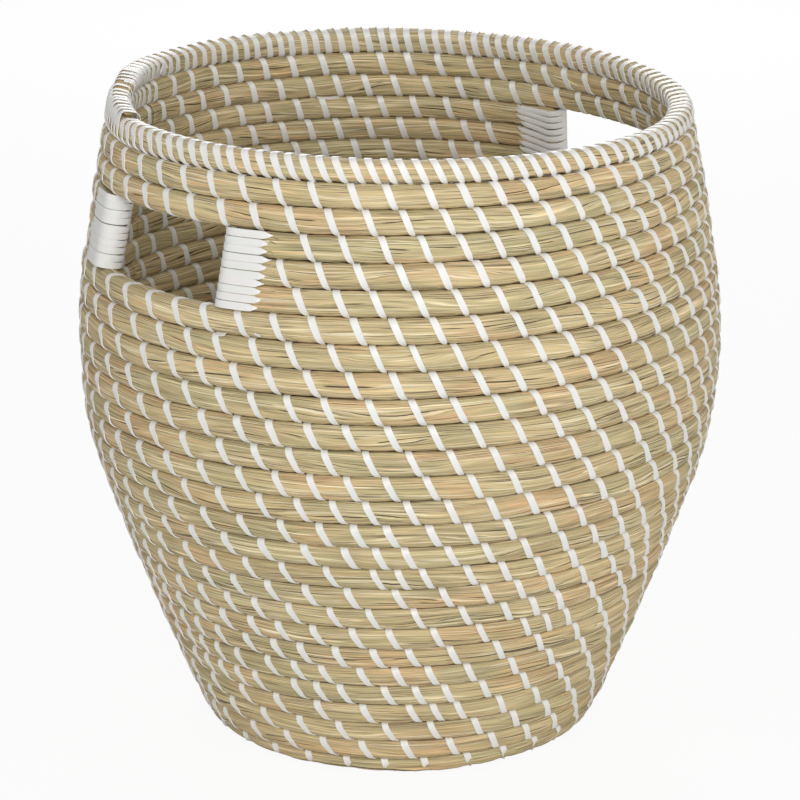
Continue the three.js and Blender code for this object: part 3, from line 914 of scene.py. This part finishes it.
blades, inside, outside = new_group(
    "blades",
    {
        "Place": VECTOR,
        "Straw": COLOUR,
        "Olive": COLOUR,
        "Tan": COLOUR,
        "Rose": COLOUR,
        "Cream": COLOUR,
        "Shade": COLOUR,
        "Gap Strength": FLOAT,
        "Crevice": FLOAT,
    },
    {"Color": COLOUR, "Height": FLOAT, "Fibre": FLOAT},
)
place = inside["Place"]


def blade_noise(per_metre, per_stem, seed, detail=2.0):
    values = {"Per_Metre": per_metre, "Per_Stem": per_stem, "Seed": seed, "Detail": detail}
    return place_group(blades, fibres, Place=place, **values)["Fibre"]


def blade_strands(per_metre, per_stem, sway, seed, scarcity, width):
    values = {"Per_Metre": per_metre, "Per_Stem": per_stem, "Sway": sway, "Seed": seed}
    return place_group(blades, strands, Place=place, Scarcity=scarcity, Width=width, **values)


patch = blade_noise(per_metre=13.0, per_stem=0.06, seed=3.0)
tan_patch = blade_noise(per_metre=16.0, per_stem=0.05, seed=29.0)
rosy_patch = blade_noise(per_metre=9.0, per_stem=0.16, seed=11.0)
fibre = blade_noise(per_metre=20.0, per_stem=3.4, seed=2.0, detail=4.0)
fine_fibre = blade_noise(per_metre=48.0, per_stem=8.5, seed=33.0)
wide = blade_strands(per_metre=11.0, per_stem=1.0, sway=0.0, seed=5.0, scarcity=0.44, width=1.0)
narrow = blade_strands(per_metre=17.0, per_stem=2.1, sway=1.2, seed=7.3, scarcity=0.47, width=0.9)
sliver = blade_strands(per_metre=13.0, per_stem=1.6, sway=1.6, seed=9.6, scarcity=0.57, width=0.45)
# The two kinds of gap below are painted shade between the strands.
long_gap = blade_strands(per_metre=10.0, per_stem=1.3, sway=1.0, seed=12.4, scarcity=0.53, width=0.2)
short_gap = blade_strands(per_metre=30.0, per_stem=2.4, sway=1.6, seed=15.7, scarcity=0.53, width=0.34)

olive_pick = maths(blades, "MULTIPLY_ADD", wide["Chance"], OLIVE_CHANCE, patch)
olive = smooth_range(blades, olive_pick, *OLIVE_PICK)
colour = mix_colour(blades, olive, inside["Straw"], inside["Olive"])
tan_pick = maths(blades, "MULTIPLY_ADD", wide["Chance"], TAN_CHANCE, tan_patch)
colour = mix_colour(blades, smooth_range(blades, tan_pick, *TAN_PICK), colour, inside["Tan"])
rosy_pick = maths(blades, "MULTIPLY_ADD", narrow["Chance"], ROSY_CHANCE, rosy_patch)
rosy = smooth_range(blades, rosy_pick, *ROSY_PICK, 0.0, ROSY_STRENGTH)
colour = mix_colour(blades, maths(blades, "MULTIPLY", rosy, wide["Strand"]), colour, inside["Rose"])
lightness = smooth_range(blades, narrow["Chance"], *LIGHT_PICK, 0.0, LIGHT_STRENGTH)
light_strand = maths(blades, "MULTIPLY", narrow["Strand"], lightness)
colour = mix_colour(blades, light_strand, colour, inside["Cream"])
# Thin cream slivers, partly pale strands and partly a painted highlight.
sliver_tone_and_highlight = maths(blades, "MULTIPLY", sliver["Strand"], SLIVER_TONE_AND_HIGHLIGHT)
colour = mix_colour(blades, sliver_tone_and_highlight, colour, inside["Cream"])
brightness = maths(blades, "MULTIPLY_ADD", fibre, FIBRE_CONTRAST, 1 - FIBRE_CONTRAST / 2)
for value, contrast in ((fine_fibre, 1.0), (wide["Chance"], 0.6), (narrow["Chance"], 0.7)):
    lowered = maths(blades, "SUBTRACT", brightness, contrast / 2)
    brightness = maths(blades, "MULTIPLY_ADD", value, contrast, lowered)
grey = add_node(blades, "ShaderNodeCombineXYZ", X=brightness, Y=brightness, Z=brightness).outputs[0]
colour = mix_colour(blades, 1.0, colour, grey, blend="MULTIPLY")
# Painted shade in the gaps between strands, mixed in with the Shade colour.
gap_shade = maths(blades, "MAXIMUM", long_gap["Strand"], short_gap["Strand"])
gap_shade = maths(blades, "MULTIPLY", gap_shade, inside["Gap Strength"])
colour = mix_colour(blades, gap_shade, colour, inside["Shade"])
# Painted shade mixed in where one row lies on the next.
crevice_shading = maths(blades, "MULTIPLY", inside["Crevice"], CREVICE_SHADE_STRENGTH)
colour = mix_colour(blades, crevice_shading, colour, inside["Shade"])
height = maths(blades, "MULTIPLY", narrow["Strand"], STRAND_HEIGHT)
height = maths(blades, "MULTIPLY_ADD", fibre, FIBRE_HEIGHT, height)
height = maths(blades, "MULTIPLY_ADD", sliver["Strand"], SLIVER_HEIGHT, height)
height = maths(blades, "SUBTRACT", height, gap_shade)
blades.links.new(colour, outside["Color"])
blades.links.new(height, outside["Height"])
blades.links.new(fibre, outside["Fibre"])


# %% Seagrass
FIBRE_RANGE = [0.3, 0.7]
GRASS_ROUGHNESS = [0.72, 0.5]


def srgb(text):
    """Linear colour from a written one, such as b9a67a."""
    parts = [int(text[start : start + 2], 16) / 255 for start in (0, 2, 4)]
    linear = [part / 12.92 if part <= 0.04045 else ((part + 0.055) / 1.055) ** 2.4 for part in parts]
    return (*linear, 1.0)


def seagrass(name, straw, olive, tan, rose, cream, shade, gaps):
    material = bpy.data.materials.new(name)
    material.use_nodes = True
    tree = material.node_tree
    surface = tree.nodes["Principled BSDF"]
    place = add_node(tree, "ShaderNodeUVMap", uv_map="UVMap").outputs[0]
    # The painted shade between rows, read from the rows' point attribute.
    crevice_shade = add_node(tree, "ShaderNodeAttribute", attribute_name="crevice_shade").outputs["Fac"]
    look = place_group(
        tree,
        blades,
        Place=place,
        Crevice=crevice_shade,
        Straw=srgb(straw),
        Olive=srgb(olive),
        Tan=srgb(tan),
        Rose=srgb(rose),
        Cream=srgb(cream),
        Shade=srgb(shade),
        Gap_Strength=gaps,
    )
    tree.links.new(look["Color"], surface.inputs["Base Color"])
    roughness = smooth_range(tree, look["Fibre"], *FIBRE_RANGE, *GRASS_ROUGHNESS)
    tree.links.new(roughness, surface.inputs["Roughness"])
    bump = add_node(tree, "ShaderNodeBump", Strength=0.7, Distance=0.0004, Height=look["Height"])
    tree.links.new(bump.outputs[0], surface.inputs["Normal"])
    return material


grass = seagrass(
    "seagrass",
    straw="cdb88a",
    olive="bfb184",
    tan="cdb082",
    rose="cda378",
    cream="eee2c1",
    # The shade colour is painted shade, in the gaps between strands and where rows meet.
    shade="35260f",
    gaps=0.95,
)

# %% [markdown]
# The strip is a smooth white tape with a soft sheen. Its UV map holds the metres
# along it and the share round it, so faint greyish lines can run along it, and
# its tone drifts a little from place to place.

# %% White strip
TONE_RANGE = [0.35, 0.65]
LINE_RANGE = [0.6, 0.8]
LINE_STRENGTH = 0.35
STRIP_ROUGHNESS = [0.36, 0.5]

strip_white = bpy.data.materials.new("white_strip")
strip_white.use_nodes = True
tree = strip_white.node_tree
surface = tree.nodes["Principled BSDF"]
place = add_node(tree, "ShaderNodeUVMap", uv_map="UVMap").outputs[0]
lines = place_group(tree, fibres, Place=place, Per_Metre=22.0, Per_Stem=26.0, Seed=4.0, Detail=2.0)["Fibre"]
tone = place_group(tree, fibres, Place=place, Per_Metre=31.0, Per_Stem=0.4, Seed=8.0, Detail=1.0)["Fibre"]
colour = mix_colour(tree, smooth_range(tree, tone, *TONE_RANGE), srgb("edeae7"), srgb("e9eae6"))
greyed = smooth_range(tree, lines, *LINE_RANGE, 0.0, LINE_STRENGTH)
colour = mix_colour(tree, greyed, colour, srgb("d9dcd4"))
tree.links.new(colour, surface.inputs["Base Color"])
roughness = smooth_range(tree, lines, *FIBRE_RANGE, *STRIP_ROUGHNESS)
tree.links.new(roughness, surface.inputs["Roughness"])
bump = add_node(tree, "ShaderNodeBump", Strength=0.3, Distance=0.0001, Height=lines)
tree.links.new(bump.outputs[0], surface.inputs["Normal"])

# %% [markdown]
# Now the rows are laid, one for each row of the model. A full row keeps its
# section from end to end. The coil starts thin and curls into the eye of the
# base. A row that stops at an opening rounds off inside its binding, and the
# last row runs on over its own start, thinning out until its end lies down on
# it.

# %% Ends of the rows
NOSE_LENGTH = 0.005
NOSE_SHARE = 0.55
LEFT_PLACES = [0, 0.05, 0.08, 0.22]
LEFT_HEIGHTS = [0.16, 0.38, 0.82, 1]
LEFT_THICKNESSES = [0.45, 0.79, 1, 1]
CURLED_TURNS = EYE_TURN - np.array([CURLED_IN, 0.5, 0.2])
CURLED_SHARES = [0.4, 0.8, 1]
HELD_FADE = 0.006
HELD_SLACK = 0.06


def full(lengths):
    ones = np.ones_like(lengths)
    return ones, ones, ones


def rounded(start, end):
    """The shape of a row that rounds off at both ends, or at one if the other is infinitely far."""

    def shape(lengths):
        into = np.minimum(lengths - start, end - lengths)
        share = np.clip(into / NOSE_LENGTH, 0, 1)
        scale = NOSE_SHARE + (1 - NOSE_SHARE) * np.sqrt(1 - (1 - share) ** 2)
        return scale, scale, np.zeros_like(lengths)

    return shape


def curled(lengths):
    """The start of the coil, drawn in from its inner side so that it fills the eye of the base."""
    share = np.interp(turn_at(lengths), CURLED_TURNS, CURLED_SHARES)
    return share, np.sqrt(share), -np.ones_like(lengths)


def thinning(lengths):
    left = np.maximum(rim_end - lengths, 0)
    height_share = np.interp(left, LEFT_PLACES, LEFT_HEIGHTS)
    return height_share, np.interp(left, LEFT_PLACES, LEFT_THICKNESSES), np.ones_like(lengths)


def over_both(lengths):
    """The rim as the strip goes round it: where the thin end lies on the start, it holds both."""
    height_share, thickness_share, ones = thinning(lengths)
    above = np.minimum(turn_at(lengths) + 1, RIM_END_TURN)
    end_share = thinning(length_at(above))[0] + HELD_SLACK
    held = np.clip((lengths - length_at(RIM_TURN - 1 + HOLDING_SHARE)) / HELD_FADE, 0, 1)
    past_end = np.clip((lengths - length_at(RIM_END_TURN - 1)) / HELD_FADE, 0, 1)
    return height_share + end_share * held * (1 - past_end), thickness_share, ones


# %% Rows of the wall and the base
left_back, left_front, right_front, right_back = EDGES.values()
rows = [bundle("grass_base_coil", "base_coil", EYE_TURN - CURLED_IN, 0, curled, grass)]
for row in range(ROWS_BELOW_OPENINGS):
    node = f"wall_row_{row + 1:02d}"
    rows.append(bundle("grass_" + node, node, row, row + 1, full, grass))
for row in range(OPENING_ROWS):
    level = LOWEST_OPENING_ROW + row
    start = level + row_end_turn(left_front, row, NOSE_LENGTH)
    end = level + row_end_turn(right_front, row, NOSE_LENGTH)
    node = f"front_panel_row_{row + 1}"
    shape = rounded(float(length_at(start)), float(length_at(end)))
    rows.append(bundle("grass_" + node, node, start, end, shape, grass))
for row in range(OPENING_ROWS + 1):
    level = LOWEST_OPENING_ROW + row
    lowest = row == 0
    highest = row == OPENING_ROWS
    start = level if lowest else level - 1 + row_end_turn(right_back, row - 1, NOSE_LENGTH)
    end = level if highest else level + row_end_turn(left_back, row, NOSE_LENGTH)
    node = f"back_panel_row_{row + 1}"
    shape = rounded(
        -math.inf if lowest else float(length_at(start)),
        math.inf if highest else float(length_at(end)),
    )
    rows.append(bundle("grass_" + node, node, start, end, shape, grass))
for row in range(FULL_ROWS_ABOVE):
    level = LOWEST_OPENING_ROW + OPENING_ROWS + row
    node = f"upper_row_{row + 1}"
    rows.append(bundle("grass_" + node, node, level, level + 1, full, grass))
rows.append(bundle("grass_rim_row", "rim_row", RIM_TURN - 1, RIM_END_TURN, thinning, grass))
print("grass rows:", len(rows))

# %% [markdown]
# The sewing is one ribbon for each row of the wall, broken only where a row is
# broken by an opening. The base has a single ribbon of its own.

# %% Sewing of every row
SEAM_ENDINGS = ["", "_after_opening", "_last"]

sewn_places = np.flatnonzero(sewn)
runs = np.split(sewn_places, np.flatnonzero(np.diff(sewn_places) > 1) + 1)
seams = []
for run in runs:
    levels = np.clip(np.floor(stitch_turn[run]), -1, RIM_TURN - 1).astype(int)
    for level in np.unique(levels):
        members = run[levels == level]
        name = "sewing_base" if level < 0 else f"sewing_row_{level + 1:02d}"
        name += next(ending for ending in SEAM_ENDINGS if name + ending not in bpy.data.objects)
        shape = over_both if level == RIM_TURN - 1 else full
        seams.append(sewing(name, members[0], members[-1] + 1, shape, strip_white))
print("ribbons of sewing:", len(seams))

# %% [markdown]
# The ends of an opening's three rows are bound together by one strip. Each of
# its loops goes level along the outside, round the ends of the rows, back along
# the inside while it climbs one step, and through the wall again. Where it goes
# through, the grass gathers it to a point, which gives the binding its jagged
# side. On the inside the same strip has curled up into something more like a
# cord. The band is given by its way into the rows, its rise over them and its
# share of the strip's width, from the place where it goes through.

# %% Bindings of the openings
BINDING_LOOPS = 10
BINDING_STEP = OPENING_ROWS * PITCH / BINDING_LOOPS
BINDING_STRIP = 0.00425
BINDING_LIFT = 0.00025
BAND_OUTER = np.array(
    [
        [0, -0.0030, 0.15],
        [0.0004, -0.0006, 0.24],
        [0.0016, 0, 0.56],
        [0.0034, 0.0002, 0.93],
        [0.006, 0.0003, 1],
    ]
)
BAND_LENGTH = BAND_OUTER[-1][0]
ARC_STEPS = 10
LEG_STEPS = 4
LEG_CLIMB = 0.75
LAST_CLIMB = 0.4
PIERCING_WANDER = 0.0013
LEVEL_WANDER = 0.00015
BAND_THICKNESS = 1.2
CORD_WIDTH = 0.74
CORD_THICKNESS = 3.4
BAND_SECTION = np.array([[-1, 0], [-0.97, 0.9], [0, 1.1], [0.97, 0.9], [1, 0]])
BINDING_SEED = 500


def edge_place(edge, into, out, up):
    """A place on a bound edge: metres into the rows, out from the wall, and up from its foot."""
    turn = edge_turn_at(edge, up) + edge[1] * into / edge_circle
    rise = (LOWEST_OPENING_ROW - 0.5) * PITCH + up
    return basket_point(turn, rise, out)


def binding(node, edge, seed):
    """One strip wound loop by loop up a bound edge, in place of a node of the model."""
    chance = np.random.default_rng(seed)
    piercings = PIERCING_DEPTH + chance.normal(0, PIERCING_WANDER, BINDING_LOOPS + 1)
    levels = (np.arange(BINDING_LOOPS + 1) + 0.5) * BINDING_STEP
    levels = levels + chance.normal(0, LEVEL_WANDER, BINDING_LOOPS + 1)
    levels[-1] = levels[-2] + BINDING_STEP * LAST_CLIMB
    reach = BINDING_OFFSET - STRIP_THICKNESS / 2
    lifted = reach + BINDING_LIFT
    legs = [step / LEG_STEPS for step in range(1, LEG_STEPS)]
    arc = [math.pi * step / ARC_STEPS for step in range(ARC_STEPS + 1)]
    places = []
    for loop in range(BINDING_LOOPS):
        here, there = piercings[loop : loop + 2]
        level, next_level = levels[loop : loop + 2]
        climb = next_level - level
        leg_start = here - BAND_LENGTH
        leg_end = there - BAND_LENGTH
        places += [(here - step, reach + rise, level, share) for step, rise, share in BAND_OUTER]
        places += [(leg_start * (1 - leg), lifted, level, 1) for leg in legs]
        places += [(-lifted * math.sin(turned), lifted * math.cos(turned), level, 1) for turned in arc]
        places += [(leg_end * leg, -lifted, level + climb * leg * LEG_CLIMB, 1) for leg in legs]
        for step, rise, share in BAND_OUTER[::-1]:
            climbed = 1 - (1 - LEG_CLIMB) * step / BAND_LENGTH
            places.append((there - step, -reach - rise, level + climb * climbed, share))
    into, out, up, width = np.array(places).T
    path = edge_place(edge, into, out, up)
    core = edge_place(edge, np.maximum(into, 0.0), np.zeros_like(out), up)
    within = np.clip(-out / reach, 0, 1)
    thickness = STRIP_THICKNESS * (BAND_THICKNESS + (CORD_THICKNESS - BAND_THICKNESS) * within)
    widths = BINDING_STRIP * width * (1 + (CORD_WIDTH - 1) * within)
    piece = ribbon(node + "_strip", path, path - core, widths, thickness, BAND_SECTION, strip_white)
    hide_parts(node)


for number, (node, edge) in enumerate(EDGES.items()):
    binding(node, edge, BINDING_SEED + number)

# %% [markdown]
# Where a strip was joined on, its tail was left on the inside, and two ends are
# folded out under the left opening. Each tail is given by its turn, its place
# round the row, its length, its climb round the row, how far its start is sunk
# (below nought it is raised), how far its free end is lifted, and its width.
# Single stems have also come loose: each starts inside the bundle, just past a
# stitch, and its free end lifts a little. Beside the left opening the stems fan
# out from under the binding.

# %% Tails of the strip and loose stems
TAILS = [
    ("tail_at_the_end", 26.989, 0.77, 0.0088, -0.03, -0.0007, 0.0011, 0.0040),
    ("tail_inside_left", 23.844, 0.945, 0.0150, 0.0, 0.0002, 0.0006, 0.0034),
    ("tail_inside_right", 24.618, 0.93, 0.0150, 0.0, 0.0002, 0.0006, 0.0034),
    ("tail_under_binding", 19.2157, 0.085, 0.0062, 0.0, -0.0005, 0.0013, 0.0038),
    ("curl_under_binding", 20.237, 0.33, 0.0036, 0.01, 0.0002, 0.0008, 0.0014),
]
FANNED_START = 0.2395
FANNED_PLACES = [0.15, 0.21, 0.27, 0.33, 0.39]
FANNED_WANDER = 0.001
FANNED_LENGTHS = [0.006, 0.0085]
FANNED_CLIMBS = [0.02, 0.06]
TAIL_STEPS = 8
LIFT_POWER = 1.5
TIP_START = 0.8
TIP_WIDTH = 0.55
LOOSE_STEMS = 34
LOOSE_TURNS = [1, RIM_TURN - 1.05]
LOOSE_OUTSIDE_SHARE = 0.7
LOOSE_OUTSIDE = [0.08, 0.42]
LOOSE_INSIDE = [0.6, 0.9]
LOOSE_LENGTHS = [0.006, 0.012]
LOOSE_CLIMBS = [-0.06, 0.06]
LOOSE_LIFTS = [0.0003, 0.0009]
LOOSE_SUNK = 0.0007
PAST_STITCH = 0.0035
LOOSE_WIDTH = 0.0009
LOOSE_THICKNESS = 0.0004
LOOSE_SECTION = np.array([[-1, 0], [-0.6, 0.9], [0.6, 0.9], [1, 0], [0, -0.5]])
LOOSE_SEED = 77


def lying_on_row(name, start, around, run, climb, sunk, lifted, width, thickness, section, material):
    """A short flat length on a row, sunk at its start and lifted at its free end, in metres."""
    share = np.linspace(0, 1, TAIL_STEPS + 1)
    lengths = start + run * share
    turns = turn_at(lengths)
    place_round = around + climb * share
    growth = -sunk + (sunk + lifted) * share**LIFT_POWER
    path = on_row(turns, lengths, place_round, growth, full)
    core = on_row(turns, lengths, place_round, np.full_like(lengths, CORE_GROWTH), full)
    widths = width * np.interp(share, [0, TIP_START, 1], [1, 1, TIP_WIDTH])
    return ribbon(name, path, path - core, widths, np.full(len(path), thickness), section, material)


def loose_stem(name, start, around, run, climb, lifted):
    profile = (LOOSE_WIDTH, LOOSE_THICKNESS, LOOSE_SECTION)
    piece = lying_on_row(name, start, around, run, climb, LOOSE_SUNK, lifted, *profile, grass)


for name, turn, around, run, climb, sunk, lifted, width in TAILS:
    start = float(length_at(turn))
    profile = (width, STRIP_THICKNESS, STRIP_SECTION)
    lying_on_row(name, start, around, run, climb, sunk, lifted, *profile, strip_white)

loose_chance = np.random.default_rng(LOOSE_SEED)
sewn_turns = stitch_turn[sewn_places]
places_for_loose = sewn_places[(sewn_turns > LOOSE_TURNS[0]) & (sewn_turns < LOOSE_TURNS[1])]
for stem, place in enumerate(loose_chance.choice(places_for_loose, LOOSE_STEMS, replace=False)):
    is_outside = loose_chance.random() < LOOSE_OUTSIDE_SHARE
    around = loose_chance.uniform(*(LOOSE_OUTSIDE if is_outside else LOOSE_INSIDE))
    run = loose_chance.uniform(*LOOSE_LENGTHS)
    climb = loose_chance.uniform(*LOOSE_CLIMBS)
    lifted = loose_chance.uniform(*LOOSE_LIFTS)
    start = stitch_length[place] + float(strip_lean(around, stitch_turn[place])) + PAST_STITCH
    loose_stem(f"loose_stem_{stem + 1:02d}", start, around, run, climb, lifted)
for row in range(OPENING_ROWS):
    for stem, around in enumerate(FANNED_PLACES):
        start = float(length_at(LOWEST_OPENING_ROW + row + FANNED_START))
        start += loose_chance.uniform(-FANNED_WANDER, FANNED_WANDER)
        run = loose_chance.uniform(*FANNED_LENGTHS)
        climb = loose_chance.uniform(*FANNED_CLIMBS)
        loose_stem(f"fanned_stem_{row + 1}_{stem + 1}", start, around, run, climb, 0.0)
print("tails:", len(TAILS), "loose stems:", LOOSE_STEMS + OPENING_ROWS * len(FANNED_PLACES))

# %% [markdown]
# The stage is a pale floor under a white surrounding. The main lamp stands just
# over the camera, low enough to shine in through the mouth onto the far wall,
# and weaker ones stand left, right, behind and above. The camera and the
# reflections see the surroundings as plain white, while the basket is lit by a
# softer white.

# %% Stage and light
FLOOR_SIZE = 6.0
FLOOR_ROUGHNESS = 0.9
FLOOR_GLOW = 0.92
WORLD_LIGHT = 0.17
LAMP_AIM = Vector((0, 0, 0.2))

floor_maker = bmesh.new()
bmesh.ops.create_grid(floor_maker, x_segments=1, y_segments=1, size=FLOOR_SIZE / 2)
floor_mesh = bpy.data.meshes.new("floor")
floor_maker.to_mesh(floor_mesh)
floor_maker.free()
floor = bpy.data.objects.new("floor", floor_mesh)
bpy.context.scene.collection.objects.link(floor)
floor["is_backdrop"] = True

floor_white = bpy.data.materials.new("floor_white")
floor_white.use_nodes = True
tree = floor_white.node_tree
surface = tree.nodes["Principled BSDF"]
surface.inputs["Base Color"].default_value = srgb("f2f2f2")
surface.inputs["Roughness"].default_value = FLOOR_ROUGHNESS
seen = tree.nodes.new("ShaderNodeLightPath")
glow = add_node(tree, "ShaderNodeEmission", Color=(1, 1, 1, 1), Strength=1.0)
blend = tree.nodes.new("ShaderNodeMixShader")
tree.links.new(maths(tree, "MULTIPLY", seen.outputs["Is Camera Ray"], FLOOR_GLOW), blend.inputs[0])
tree.links.new(surface.outputs[0], blend.inputs[1])
tree.links.new(glow.outputs[0], blend.inputs[2])
tree.links.new(blend.outputs[0], tree.nodes["Material Output"].inputs["Surface"])
floor_mesh.materials.append(floor_white)

world = bpy.data.worlds.new("studio")
bpy.context.scene.world = world
world.use_nodes = True
tree = world.node_tree
background = tree.nodes["Background"]
background.inputs["Color"].default_value = (1, 1, 1, 1)
seen = tree.nodes.new("ShaderNodeLightPath")
straight = maths(tree, "MAXIMUM", seen.outputs["Is Glossy Ray"], seen.outputs["Is Transmission Ray"])
straight = maths(tree, "MAXIMUM", seen.outputs["Is Camera Ray"], straight)
strength = maths(tree, "MULTIPLY_ADD", straight, 1 - WORLD_LIGHT, WORLD_LIGHT)
tree.links.new(strength, background.inputs["Strength"])


def studio_lamp(name, side, height, distance, size, power):
    """A square lamp facing the basket, from a side angle counted like the camera's."""
    data = bpy.data.lights.new(name, "AREA")
    data.shape = "SQUARE"
    data.size = size
    data.energy = power
    lamp = bpy.data.objects.new(name, data)
    bpy.context.scene.collection.objects.link(lamp)
    angle = CAMERA_SIDE + math.radians(side)
    place = Vector((distance * math.sin(angle), -distance * math.cos(angle), height))
    lamp.location = place
    lamp.rotation_mode = "QUATERNION"
    lamp.rotation_quaternion = (LAMP_AIM - place).to_track_quat("-Z", "Y")


studio_lamp("main lamp", side=5, height=1.15, distance=2.5, size=1.1, power=32.5)
studio_lamp("left lamp", side=-58, height=1.3, distance=2.6, size=1.4, power=11)
studio_lamp("right lamp", side=62, height=1.2, distance=2.6, size=1.4, power=14.5)
studio_lamp("back lamp", side=178, height=1.3, distance=2.6, size=1.4, power=28)
studio_lamp("top lamp", side=0, height=2.1, distance=0.9, size=1.0, power=4)

# %% [markdown]
# The colours are shown as written, without a film curve.

# %% Finish
bpy.context.scene.view_settings.view_transform = "Standard"
dressed_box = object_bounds()
for name, box in (("model", model_box), ("dressed", dressed_box)):
    print(name, [[round(value, 4) for value in corner] for corner in box])
triangles = sum(len(face.vertices) - 2 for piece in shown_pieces() for face in piece.data.polygons)
print("triangles:", triangles)
